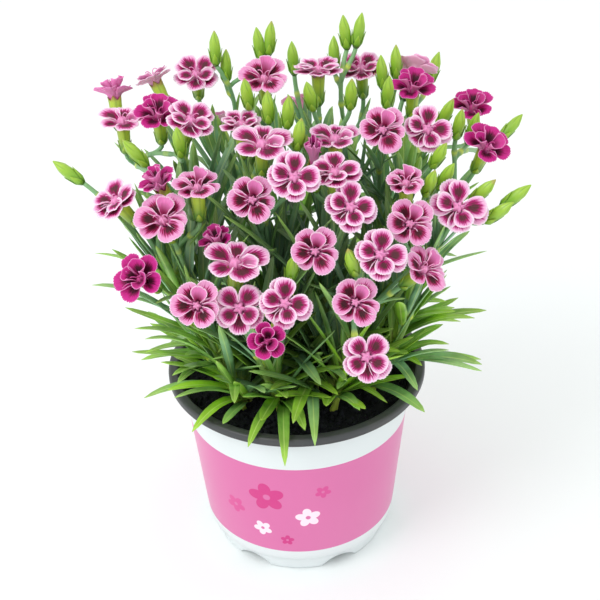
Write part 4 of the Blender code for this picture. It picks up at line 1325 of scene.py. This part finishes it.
@dataclass(frozen=True)
class GreenFinish:
    """Living green tissue under a thin grey wax bloom: satin, paler along the midrib and at the foot, with
    painted shade deep inside the plant.
    """
    name: str
    young: str
    lit: str
    shaded: str
    waxy: str
    midrib: str
    foot: str
    old: str
    low: float
    high: float
    roughness: float
    inner_shade_strength: float = 0.62
    veins: float = 26.0

    def material(self) -> bpy.types.Material:
        """Colour by height, tint and noise, with painted shade by the value inner; midrib and veins follow
        the value across the blade.
        """
        material, tree, shader = new_material(self.name)
        along, across, tint, inner = read_values(tree, "along", "across", "tint", "inner")
        place = object_place(tree)
        upper = ranged(tree, height_of(tree, place), (self.low, self.high))
        wax = calc(tree, "ADD", upper, calc(tree, "MULTIPLY_ADD", tint, 1.5, -0.75), clamp=True)
        colour = blend(tree, wax, self.lit, self.waxy)
        dark = ranged(tree, noise(tree, place, 60.0, 3.0), (0.40, 0.66), (0.0, 0.70))
        tip = ranged(tree, along, (0.55, 1.0), (0.0, 0.45))
        line = ranged(tree, calc(tree, "ABSOLUTE", across), (0.03, 0.16), (0.55, 0.0), smooth=True)
        sheath = ranged(tree, along, (0.0, 0.20), (0.85, 0.0), smooth=True)
        # Painted shade: the deeper inside the plant, the more the colour goes to a dark green.
        inner_shade_share = calc(tree, "MULTIPLY", inner, self.inner_shade_strength)
        for factor, shade in ((dark, self.shaded), (tip, self.young), (line, self.midrib),
                              (sheath, self.foot), (inner_shade_share, self.old)):
            colour = blend(tree, factor, colour, shade)
        wave = calc(tree, "SINE", calc(tree, "MULTIPLY", across, self.veins))
        coat(tree, shader, colour, bump(tree, wave, 0.18, 0.00010), {
            "Roughness": self.roughness, "Subsurface Weight": 0.08, "Subsurface Radius": (0.4, 1.0, 0.2),
            "Subsurface Scale": 0.0006})
        return material


# The seventh colour is the dark green of the painted shade inside the plant.
LEAF_FINISH = GreenFinish("leaf_blade_waxed", "#c0e856", "#9ad232", "#356530", "#8fc094", "#d2ea8a",
                          "#d8ee74", "#1b3b2a", 0.100, 0.175, 0.32)


@dataclass(frozen=True)
class StalkFinish:
    """Round living stems: grey-green wax bloom between the joints, yellow-green on them."""
    name: str = "stem_waxed"
    stem: str = "#7cae7a"
    low: str = "#b4cc4a"
    joint: str = "#d2e45a"
    old: str = "#1f4030"
    roughness: float = 0.42
    inner_shade_strength: float = 0.50

    def material(self) -> bpy.types.Material:
        """Colour by height and by the value joint, mottled by noise, with painted shade inside the plant."""
        material, tree, shader = new_material(self.name)
        joint, tint, inner = read_values(tree, "joint", "tint", "inner")
        place = object_place(tree)
        mottle = noise(tree, place, 220.0, 3.0)
        colour = blend(tree, ranged(tree, height_of(tree, place), (0.095, 0.15)), self.low, self.stem)
        part = calc(tree, "MULTIPLY", calc(tree, "MULTIPLY", mottle, 0.5), calc(tree, "MULTIPLY", tint, 0.6))
        swollen = ranged(tree, joint, (0.25, 0.9), (0.0, 0.9))
        # Painted shade: stalks deep inside the plant go towards a dark green.
        inner_shade_share = calc(tree, "MULTIPLY", inner, self.inner_shade_strength)
        for factor, shade in ((part, self.low), (swollen, self.joint), (inner_shade_share, self.old)):
            colour = blend(tree, factor, colour, shade)
        coat(tree, shader, colour, bump(tree, mottle, 0.12, 0.0001), {"Roughness": self.roughness})
        return material


@dataclass(frozen=True)
class CalyxFinish:
    """Firm ribbed green tissue: blue-green at the foot, yellow-green above, brown-red at the tips."""
    name: str
    foot: str
    body: str
    upper: str
    tip: str
    tip_from: float
    tip_fade: float = 0.16
    roughness: float = 0.36

    def material(self) -> bpy.types.Material:
        """Colour by the share of its length, broken by noise, with painted shade and darker streaks in the
        folds, and a fine relief.
        """
        material, tree, shader = new_material(self.name)
        along, across, tint = read_values(tree, "along", "across", "tint")
        patches = noise(tree, object_place(tree), 150.0, 3.0)
        drawn = calc(tree, "MULTIPLY_ADD", tint, 0.16, calc(tree, "MULTIPLY_ADD", patches, 0.30, along))
        colour = add_node(tree, "ValToRGB", {"stops": (
            (0.14, linear(self.foot)), (0.45, linear(self.body)), (0.95, linear(self.upper)),
            (1.0, linear(self.upper)))}, {"Fac": drawn})
        brown = ranged(tree, drawn, (self.tip_from, self.tip_from + self.tip_fade), (0.0, 0.7), smooth=True)
        # Painted shade in the folds and at the scales' edges, partly the calyx's own darker streaks: the
        # foot colour where across nears -1.
        fold_shade = ranged(tree, across, (-1.0, -0.5), (0.55, 0.0))
        colour = blend(tree, fold_shade, blend(tree, brown, colour, self.tip), self.foot)
        coat(tree, shader, colour, bump(tree, patches, 0.12, 0.0001), {
            "Roughness": self.roughness, "Subsurface Weight": 0.06, "Subsurface Radius": (0.6, 1.0, 0.2),
            "Subsurface Scale": 0.0006})
        return material


CALYX_FINISH = CalyxFinish("calyx_green", "#33643a", "#5f902e", "#aac43c", "#9c6a3c", 1.10)
BUD_FINISH = CalyxFinish("bud_green", "#376a2c", "#7cb02e", "#9fc63e", "#b08f58", 1.14)


# Dressing the stems

@dataclass(frozen=True)
class Shoots:
    """How a stem's shoot leaves are drawn: their count and the ranges of what each leaf has."""
    count: int
    foot: tuple[float, float]
    rise: tuple[float, float]
    length: tuple[float, float]
    droop: tuple[float, float]
    width: tuple[float, float]
    turn: float = 137.5
    swing: float = 20

    def leaves(self, stem: Stem, draw: random.Random) -> list[Leaf]:
        """Draw the leaves, each a golden turn on from the last."""
        return [stem.arched(cubic(stem.courses[0], draw.uniform(*self.foot))[0],
                            number * self.turn + draw.uniform(-self.swing, self.swing),
                            draw.uniform(*self.rise), draw.uniform(*self.length), draw.uniform(*self.droop),
                            draw.uniform(*self.width)) for number in range(self.count)]


LOW_SHOOTS = Shoots(14, (0.02, 0.22), (18, 60), (0.034, 0.060), (4, 46), (0.0050, 0.0072))
TALL_SHOOTS = Shoots(20, (0.04, 0.62), (60, 86), (0.040, 0.078), (3, 26), (0.0042, 0.0064))


@dataclass
class Foliage:
    """All green pieces of one stem: its stalks, leaves, calyces and buds."""
    stem: Stem
    leaf_shape: LeafShape = field(default_factory=LeafShape)
    stalk_shape: StalkShape = field(default_factory=StalkShape)
    calyx_shape: CalyxShape = field(default_factory=CalyxShape)
    bud_shape: BudShape = field(default_factory=BudShape)
    canopy_depth: float = 0.012
    rim_reach: float = 0.054
    rim_clear: float = 0.1035
    soil_clear: float = 0.0940
    least_climb: float = 0.55
    pair_length: tuple[float, float] = (0.026, 0.042)
    pair_width: tuple[float, float] = (0.0038, 0.0054)
    root_depths: tuple[float, float] = (0.010, 0.003)

    def stalks(self) -> Surface:
        """Every stalk of the stem, the main one from inside the soil."""
        draw = random.Random(self.stem.name + " stalks")
        parts = []
        for index, course in enumerate(self.stem.courses):
            foot = self.stem.stem_radius if index == 0 else self.stem.stalk_radius
            if index == 0:
                course = np.array((course[0] - UP * self.root_depths[0],
                                   course[1] - UP * self.root_depths[1], course[2], course[3]))
            parts.append(self.stalk_shape.surface(course, foot, self.stem.stalk_radius, draw.random()))
        return Surface.joined(parts)

    @staticmethod
    def with_inner_shade(surface: Surface, canopy: Canopy) -> Surface:
        """The same surface with the value inner, by which the finishes paint shade inside the plant."""
        surface.values["inner"] = canopy.inner(surface.points)
        return surface

    def calyces(self) -> Surface:
        """A calyx under each open bloom."""
        draw = random.Random(self.stem.name + " calyces")
        parts = [self.calyx_shape.surface(self.stem.stalk_end(flower), flower.axis, draw.random())
                 for flower in self.stem.flowers if flower.head.kind is not BUD]
        return Surface.joined(parts)

    def buds(self) -> Surface | None:
        """A closed bud at each of the other heads."""
        draw = random.Random(self.stem.name + " buds")
        parts = [self.bud_shape.surface(self.stem.stalk_end(flower), flower.axis, draw.random())
                 for flower in self.stem.flowers if flower.head.kind is BUD]
        return Surface.joined(parts) if parts else None

    def leaves(self, canopy: Canopy) -> Surface:
        """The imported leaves, and those that the solids leave out: pairs, tufts and tall ones."""
        draw = random.Random(self.stem.name + " leaves")
        more = self.joint_pairs(draw)
        for shoots in (LOW_SHOOTS, TALL_SHOOTS):
            more += shoots.leaves(self.stem, draw)
        kept = [leaf for leaf in more if canopy.above(leaf.tip) < -self.canopy_depth and self.clear(leaf)]
        return Surface.joined([self.leaf_shape.surface(leaf, draw) for leaf in self.stem.leaves + kept])

    def clear(self, leaf: Leaf) -> bool:
        """Whether a leaf keeps off the soil, above the pot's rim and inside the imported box."""
        line = quadratic(leaf, np.linspace(0.2, 1, 12))
        low = np.where(np.hypot(line[:, 0], line[:, 1]) > self.rim_reach, self.rim_clear, self.soil_clear)
        boxed = (line > np.array(CAD_BOX[0])) & (line < np.array(CAD_BOX[1]))
        return bool((line[:, 2] > low).all() and boxed.all())

    def joint_pairs(self, draw: random.Random) -> list[Leaf]:
        """A pair of leaves at each joint, a quarter turn from the last and shorter near the bloom."""
        found = []
        for course in self.stem.courses:
            length = float(np.linalg.norm(course[3] - course[0]))
            turn = draw.uniform(0, 180)
            for number, share in enumerate(self.stalk_shape.joints(length)):
                root, ahead = cubic(course, share)[0], heading(course, share)
                size = draw.uniform(*self.pair_length) * (1.15 - 0.50 * share)
                if ahead[2] > self.least_climb:
                    found += [self.clasping(root, ahead, turn + 90 * number + 180 * half, size, draw)
                              for half in (0, 1)]
        return found

    def clasping(self, root: Array, ahead: Array, turn: float, size: float, draw: random.Random) -> Leaf:
        """A leaf that leaves a joint close to the stalk and bends a little away."""
        first = unit(np.cross(ahead, (0.2, 0.97, 0.1)))
        out = first * math.cos(math.radians(turn)) + np.cross(ahead, first) * math.sin(math.radians(turn))
        bend = root + unit(ahead + out * draw.uniform(0.10, 0.26)) * size * 0.5
        tip = bend + unit(ahead + out * draw.uniform(0.05, 0.60)) * size * 0.5
        return Leaf(root, bend, tip, draw.uniform(*self.pair_width))


# Pot and soil

@dataclass(frozen=True)
class Motif:
    """A printed blossom: compass direction in degrees, height and radius in mm, and its colour."""
    toward: float
    height: float
    radius: float
    colour: str


FRONT_MOTIFS = (
    Motif(-108, 55, 9.5, "#cf3384"), Motif(-86, 42, 6.5, "#fbe3ef"), Motif(-112, 32, 5.0, "#fbe3ef"),
    Motif(-98, 25.5, 3.6, "#cf3384"), Motif(-128, 43, 5.6, "#d64a93"), Motif(-78, 59, 4.2, "#d64a93"))
BACK_MOTIFS = tuple(replace(motif, toward=motif.toward + 180) for motif in FRONT_MOTIFS)


@dataclass(frozen=True)
class PotFinish:
    """Injection-moulded polypropylene: a satin dark grey rim, nearly black below it, and a glossy printed
    sleeve.
    """
    rim_colour: str = "#3d3f41"
    below_rim_colour: str = "#111214"
    wall_colour: str = "#dfe6e7"
    band_colour: str = "#d2629f"
    band_edge: str = "#dd7bae"
    band_low: float = 0.0170
    band_high: float = 0.0757
    dust_colour: str = "#5b5852"
    motifs: tuple[Motif, ...] = FRONT_MOTIFS + BACK_MOTIFS

    def rim(self) -> bpy.types.Material:
        """Dark grey satin polypropylene, nearly black below the rim, with dusty patches all over."""
        material, tree, shader = new_material("polypropylene_moulded_grey")
        place = object_place(tree)
        # Nearly black below the rim, down the inside of the pot.
        deep = ranged(tree, height_of(tree, place), (0.0945, 0.0985))
        dust = ranged(tree, noise(tree, place, 45.0, 3.0), (0.45, 0.8), (0.0, 0.35))
        colour = blend(tree, dust, blend(tree, deep, self.below_rim_colour, self.rim_colour), self.dust_colour)
        coat(tree, shader, colour, bump(tree, noise(tree, place, 900.0, 4.0), 0.10, 0.0001),
             {"Roughness": 0.42, "IOR": 1.49})
        return material

    def sleeve(self) -> bpy.types.Material:
        """Glossy white film with a pink band between two heights, and printed blossoms on it."""
        material, tree, shader = new_material("polypropylene_film_printed")
        place = object_place(tree)
        axes = add_node(tree, "SeparateXYZ", links={0: place})
        x, y, z = (pick(axes.outputs, key) for key in "XYZ")
        colour = blend(tree, noise(tree, place, 14.0, 1.0), self.band_colour, self.band_edge)
        for motif in self.motifs:
            colour = blend(tree, self.blossom(tree, motif, x, y, z), colour, motif.colour)
        band = calc(tree, "MULTIPLY", calc(tree, "GREATER_THAN", z, self.band_low),
                    calc(tree, "LESS_THAN", z, self.band_high))
        coat(tree, shader, blend(tree, band, self.wall_colour, colour),
             bump(tree, noise(tree, place, 700.0, 2.0), 0.04, 0.0001), {"Roughness": 0.30, "IOR": 1.49})
        return material

    def blossom(self, tree: bpy.types.NodeTree, motif: Motif, x: object, y: object, z: object) -> object:
        """Mask of a five-petalled blossom on the wall: its radius follows five lobes of a cosine.

        Args:
            tree: The material's node tree.
            motif: The blossom.
            x: Place along X.
            y: Place along Y.
            z: Height.

        Returns:
            The node that gives 1 on the blossom.
        """
        cos, sin = math.cos(math.radians(motif.toward)), math.sin(math.radians(motif.toward))
        along = calc(tree, "MULTIPLY_ADD", y, cos * 1000, calc(tree, "MULTIPLY", x, -sin * 1000))
        facing = calc(tree, "MULTIPLY_ADD", y, sin, calc(tree, "MULTIPLY", x, cos))
        rise = calc(tree, "MULTIPLY_ADD", z, 1000.0, -motif.height)
        fives = calc(tree, "MULTIPLY_ADD", calc(tree, "ARCTAN2", rise, along), 2.5, motif.toward)
        lobed = calc(tree, "ABSOLUTE", calc(tree, "COSINE", fives))
        outline = calc(tree, "MULTIPLY_ADD", lobed, motif.radius * 0.42, motif.radius * 0.58)
        away = length_of(tree, combine(tree, along, rise))
        inside = ranged(tree, calc(tree, "SUBTRACT", outline, away), (-0.1, 0.15))
        heart = ranged(tree, away, (motif.radius * 0.17, motif.radius * 0.22))
        return calc(tree, "MULTIPLY", calc(tree, "MULTIPLY", inside, heart),
                    calc(tree, "GREATER_THAN", facing, 0.0))


@dataclass
class Pot:
    """The pot: a turned wall with a rolled rim, and a foot with arched notches and drain holes."""
    height: float = 0.101
    rim_radius: float = 0.065
    rim_face: float = 0.0050
    rim_lip: float = 0.0046
    roll: float = 0.0014
    wall_top: float = 0.0582
    wall_foot: float = 0.0496
    wall: float = 0.0014
    foot_height: float = 0.0100
    foot_radius: float = 0.0450
    ledge: float = 0.0014
    floor: float = 0.0060
    scallops: int = 6
    first_scallop: float = math.radians(-124)
    scallop_curve: float = 0.0134
    scallop_rise: float = 0.0045
    scallop_reach: float = 0.036
    drain_radius: float = 0.0040
    drain_circle: float = 0.038
    soil_top: float = 0.0900
    steps: int = 288
    finish: PotFinish = field(default_factory=PotFinish)

    def inner_wall(self, height: float) -> float:
        """Inner radius of the wall at a height."""
        share = (height - self.foot_height) / (self.height - self.rim_lip - self.foot_height)
        return self.wall_foot + (self.wall_top - self.wall_foot) * share - self.wall

    @staticmethod
    def arc(centre: tuple[float, float], radius: float, first: float, last: float, count: int = 6) -> list:
        """Points of a circle's arc in the outline's plane, angles in degrees."""
        turns = np.radians(np.linspace(first, last, count))
        return [(centre[0] + radius * math.cos(t), centre[1] + radius * math.sin(t)) for t in turns]

    def outline(self) -> tuple[Array, int, int]:
        """The wall's outline from the base centre outwards, over the rim and down inside.

        Returns:
            The points as (radius, height), how many lie under the foot, and how many come before the rim.
        """
        under, roll, out = self.height - self.rim_lip, self.roll, self.foot_radius
        foot = [(0.0, 0.0), (0.012, 0.0), (0.024, 0.0), (self.scallop_reach, 0.0),
                (self.scallop_reach + 0.0001, 0.0), (self.scallop_reach + 0.004, 0.0), (out - roll, 0.0)]
        turned = [(out - roll * 0.3, roll * 0.3), (out, roll)]
        wall = [(out + self.ledge * 0.5, self.foot_height * 0.6),
                (out + self.ledge, self.foot_height - 0.0002),
                (self.wall_foot - 0.0006, self.foot_height + self.ledge * 0.6)]
        wall += [(self.wall_foot, self.foot_height + self.ledge * 1.3)]
        rise = np.linspace(0, 1, 24)[1:]
        top = under - 0.0002
        wall += [(self.wall_foot + (self.wall_top - self.wall_foot) * s,
                  self.foot_height + self.ledge * 1.3 + (top - self.foot_height - self.ledge * 1.3) * s)
                 for s in rise]
        rim = [(self.wall_top + 0.0006, under)]
        rim += self.arc((self.rim_radius - roll, under + roll), roll, -90, 0)
        rim += self.arc((self.rim_radius - roll, self.height - roll), roll, 0, 90)
        rim += self.arc((self.rim_radius - self.rim_face + roll, self.height - roll), roll, 90, 180)
        inside = [(self.inner_wall(self.soil_top) + 0.0006, self.soil_top + 0.004),
                  (self.inner_wall(self.soil_top), self.soil_top - 0.002),
                  (self.inner_wall(self.foot_height) - self.ledge, self.foot_height + roll),
                  (self.foot_radius - self.wall, self.floor), (0.024, self.floor), (0.0, self.floor)]
        before = len(foot) + len(turned) + len(wall)
        return np.array(foot + turned + wall + rim + inside), len(foot), before

    def notch(self, turn: Array) -> Array:
        """How far the foot's underside lifts at each angle: circular arches about six directions."""
        pitch = 2 * np.pi / self.scallops
        away = (turn - self.first_scallop + pitch / 2) % pitch - pitch / 2
        side = np.abs(np.sin(away)) * self.foot_radius
        arch = np.sqrt(np.maximum(self.scallop_curve ** 2 - side ** 2, 0))
        return np.maximum(0, arch - self.scallop_curve + self.scallop_rise)

    def build(self) -> bpy.types.Object:
        """Turn the outline, lift the notches, finish rim and wall, and cut the drain holes."""
        outline, under, rim_row = self.outline()
        turn = 2 * np.pi * np.arange(self.steps) / self.steps
        reach = np.repeat(outline[1:-1, :1], self.steps, 1)
        height = np.repeat(outline[1:-1, 1:], self.steps, 1)
        raised = slice(3, under + 1)
        height[raised] = np.maximum(height[raised], self.notch(turn)[None] + height[raised] * 0.5)
        surface = tube(np.stack((reach * np.cos(turn), reach * np.sin(turn), height), -1), {})
        pot = show("pot_shell", surface, [self.finish.sleeve(), self.finish.rim()], ["pot"])
        dark = np.repeat(np.arange(len(outline) - 3) >= rim_row - 1, self.steps)
        dark = np.concatenate((dark, np.repeat((False, True), self.steps)))
        pot.data.polygons.foreach_set("material_index", dark.astype(np.int32))
        self.drain(pot)
        return pot

    def drain(self, pot: bpy.types.Object) -> None:
        """Cut a round hole through the floor below the crown of each notch."""
        turns = self.first_scallop + 2 * np.pi * np.arange(self.scallops) / self.scallops
        bars = []
        for turn in turns:
            spot = np.array((math.cos(turn), math.sin(turn), 0.0)) * self.drain_circle
            path = spot + UP * np.linspace(-0.004, self.floor + 0.0005, 3)[:, None]
            bars.append(round_tube(path, np.full(3, self.drain_radius), 32, {}))
        cutter = bpy.data.objects.new("drain_bars", Surface.joined(bars).mesh("drain_bars"))
        bpy.context.scene.collection.objects.link(cutter)
        cut = pot.modifiers.new("drain", "BOOLEAN")
        cut.object, cut.operation, cut.solver = cutter, "DIFFERENCE", "EXACT"
        held = bpy.context.evaluated_depsgraph_get()
        pot.data = bpy.data.meshes.new_from_object(pot.evaluated_get(held))
        pot.modifiers.clear()
        bpy.data.objects.remove(cutter)


@dataclass
class Soil:
    """Dark peat soil: a slightly crowned bed with waves and crumbs on it."""
    top: float = 0.0900
    crown: float = 0.0020
    bump: float = 0.0012
    floor: float = 0.0063
    crumbs: int = 1900
    crumb_size: tuple[float, float] = (0.0007, 0.0027)
    steps: int = 120
    rings: int = 44
    foot_gap: float = 0.0006
    colour: str = "#070b12"
    pale: str = "#1d222b"

    def build(self, pot: Pot) -> bpy.types.Object:
        """The bed as one closed solid, with crumbs in the same piece."""
        whole = Surface.joined([self.bed(pot), self.crumb_surfaces(pot)])
        return show("soil_bed", whole, [self.material()], ["potting_soil"])

    def height(self, x: Array, y: Array, edge: float) -> Array:
        """Height of the surface: a crown, low waves and finer ones, all fading at the pot's wall."""
        spread = 1 - (x * x + y * y) / edge ** 2
        waves = np.sin(190 * x + 1) * np.cos(170 * y) + 0.6 * np.sin(310 * y - 240 * x)
        fine = np.sin(1100 * x + 3 * np.sin(700 * y)) * np.sin(950 * y + 2 * np.sin(820 * x))
        return self.top + (self.crown + self.bump * waves) * spread + 0.00035 * fine

    def bed(self, pot: Pot) -> Surface:
        """Rings from the floor up the wall and in over the surface."""
        edge = pot.inner_wall(self.top) - 0.0004
        turn = 2 * np.pi * np.arange(self.steps) / self.steps
        base = pot.foot_radius - pot.wall - self.foot_gap
        ledge = pot.inner_wall(pot.foot_height) - pot.ledge - self.foot_gap
        reach = np.concatenate(((base * 0.3, base, ledge), edge * np.linspace(1, 0.02, self.rings)))
        rings_xy = reach[:, None] * np.cos(turn), reach[:, None] * np.sin(turn)
        height = self.height(rings_xy[0], rings_xy[1], edge)
        height[:3] = np.array((self.floor, self.floor, pot.foot_height + pot.roll))[:, None]
        return tube(np.stack((*rings_xy, height), -1), {"tint": np.zeros((len(reach), self.steps))})

    def crumb_surfaces(self, pot: Pot) -> Surface:
        """Crumbs as eight-sided lumps, scattered evenly by area and sunk by half."""
        rng = np.random.default_rng(11)
        edge = pot.inner_wall(self.top) - 0.0015
        reach = edge * np.sqrt(rng.random(self.crumbs))
        turn = 2 * np.pi * rng.random(self.crumbs)
        x, y = reach * np.cos(turn), reach * np.sin(turn)
        size = self.crumb_size[0] + (self.crumb_size[1] - self.crumb_size[0]) * rng.random(self.crumbs) ** 3
        shape = np.array([(1, 0, 0), (0, 1, 0), (-1, 0, 0), (0, -1, 0), (0, 0, 1), (0, 0, -1)], float)
        lumps = shape[None] * size[:, None, None] * rng.uniform(0.55, 1.3, (self.crumbs, 6, 3))
        lumps += rng.uniform(-0.3, 0.3, (self.crumbs, 6, 3)) * size[:, None, None]
        lumps += np.stack((x, y, self.height(x, y, edge) + size * 0.35), -1)[:, None]
        sides = np.array([(0, 1, 4), (1, 2, 4), (2, 3, 4), (3, 0, 4),
                          (1, 0, 5), (2, 1, 5), (3, 2, 5), (0, 3, 5)])
        fans = (sides[None] + 6 * np.arange(self.crumbs)[:, None, None]).reshape(-1, 3)
        tint = np.repeat(rng.random(self.crumbs), 6)
        return Surface(lumps.reshape(-1, 3), np.zeros((0, 4), int), {"tint": tint}, fans)

    def material(self) -> bpy.types.Material:
        """Damp peat: near black, with browner crumbs and a rough grain of under a millimetre."""
        material, tree, shader = new_material("peat_soil_damp")
        tint, = read_values(tree, "tint")
        grain = noise(tree, object_place(tree), 1100.0, 5.0, 0.7)
        colour = blend(tree, calc(tree, "MULTIPLY", grain, tint), self.colour, self.pale)
        coat(tree, shader, colour, bump(tree, grain, 0.8, 0.0006), {"Roughness": 0.92})
        return material


# Studio

@dataclass(frozen=True)
class Studio:
    """A pale floor, soft light from the upper left and all round, and the photograph's camera."""
    floor_size: float = 3.0
    floor_colour: str = "#f2f6f6"
    world_strength: float = 1.07
    sensor: float = 36.0
    frame_width: int = 600
    key_place: tuple[float, float, float] = (-0.75, -0.65, 1.15)
    key_size: float = 0.60
    key_power: float = 6.0

    def build(self, sight: Sight) -> None:
        """Set up floor, light, world and camera."""
        self.floor()
        self.light()
        self.world()
        self.camera(sight)
        bpy.context.scene.view_settings.view_transform = "Standard"

    def floor(self) -> None:
        """A matt white paper sweep."""
        material, tree, shader = new_material("studio_paper")
        relief = bump(tree, noise(tree, object_place(tree), 300.0, 2.0), 0.02, 0.0001)
        tree.links.new(relief.outputs[0], shader.inputs["Normal"])
        shader.inputs["Base Color"].default_value = linear(self.floor_colour)
        shader.inputs["Roughness"].default_value = 0.9
        half = self.floor_size / 2
        corners = np.array(((-half, -half, 0), (half, -half, 0), (half, half, 0), (-half, half, 0)))
        mesh = Surface(corners, np.array(((0, 1, 2, 3),))).mesh("studio_floor")
        sheet = bpy.data.objects.new("studio_floor", mesh)
        sheet.data.materials.append(material)
        bpy.context.scene.collection.objects.link(sheet)

    def light(self) -> None:
        """One large soft lamp above the front left."""
        lamp = bpy.data.lights.new("key_light", "AREA")
        lamp.size, lamp.energy = self.key_size, self.key_power
        held = bpy.data.objects.new("key_light", lamp)
        held.location = self.key_place
        held.rotation_euler = (-held.location).to_track_quat("-Z", "Y").to_euler()
        bpy.context.scene.collection.objects.link(held)

    def world(self) -> None:
        """Even white light from everywhere."""
        world = bpy.data.worlds.new("studio_white")
        bpy.context.scene.world = world
        world.use_nodes = True
        background = world.node_tree.nodes["Background"]
        background.inputs["Color"].default_value = (1.0, 1.0, 1.0, 1.0)
        background.inputs["Strength"].default_value = self.world_strength

    def camera(self, sight: Sight) -> None:
        """A camera at the photograph's eye, turned by its roll."""
        view = bpy.data.cameras.new("photo_view")
        view.sensor_width = self.sensor
        view.lens = sight.focal / self.frame_width * self.sensor
        held = bpy.data.objects.new("photo_view", view)
        held.location = sight.eye
        look = Vector(-sight.back).to_track_quat("-Z", "Y")
        held.rotation_euler = (look @ Quaternion((0, 0, 1), -sight.roll)).to_euler()
        bpy.context.scene.collection.objects.link(held)
        bpy.context.scene.camera = held


def dress_stems(stems: list[Stem], canopy: Canopy) -> None:
    """Build the green pieces of every stem."""
    leaf, stalk = LEAF_FINISH.material(), StalkFinish().material()
    calyx, bud = CALYX_FINISH.material(), BUD_FINISH.material()
    for stem in stems:
        stem.grow()
        green = Foliage(stem)
        show("stalks_" + stem.name, green.with_inner_shade(green.stalks(), canopy), [stalk], [stem.node])
        leaves = green.with_inner_shade(green.leaves(canopy), canopy)
        show("leaves_" + stem.name, leaves, [leaf], [stem.node])
        show("calyces_" + stem.name, green.calyces(), [calyx], [stem.node])
        buds = green.buds()
        if buds:
            show("buds_" + stem.name, buds, [bud], [stem.node])


def dress_blooms(stems: list[Stem]) -> None:
    """Build the petals of every open flower."""
    finishes = {key: finish.material() for key, finish in PETAL_FINISHES.items()}
    shape = PetalShape()
    flowers = [flower for stem in stems for flower in stem.flowers if flower.head.kind is not BUD]
    for number, flower in enumerate(flowers, 1):
        bloom = Bloom(number, flower)
        look = KIND_FINISH[flower.head.kind]
        show(f"petals_{number:02d}", bloom.surface(shape), [finishes[look]], [bloom.node])


def main() -> None:
    """Build pot, soil, stems and blooms, then the studio."""
    logging.basicConfig(level=logging.INFO, format="%(message)s")
    sight, canopy, pot = Sight(), Canopy(), Pot()
    pot.build()
    Soil().build(pot)
    stems = place_stems(sight, canopy)
    dress_stems(stems, canopy)
    dress_blooms(stems)
    Studio().build(sight)


if __name__ == "__main__":
    main()
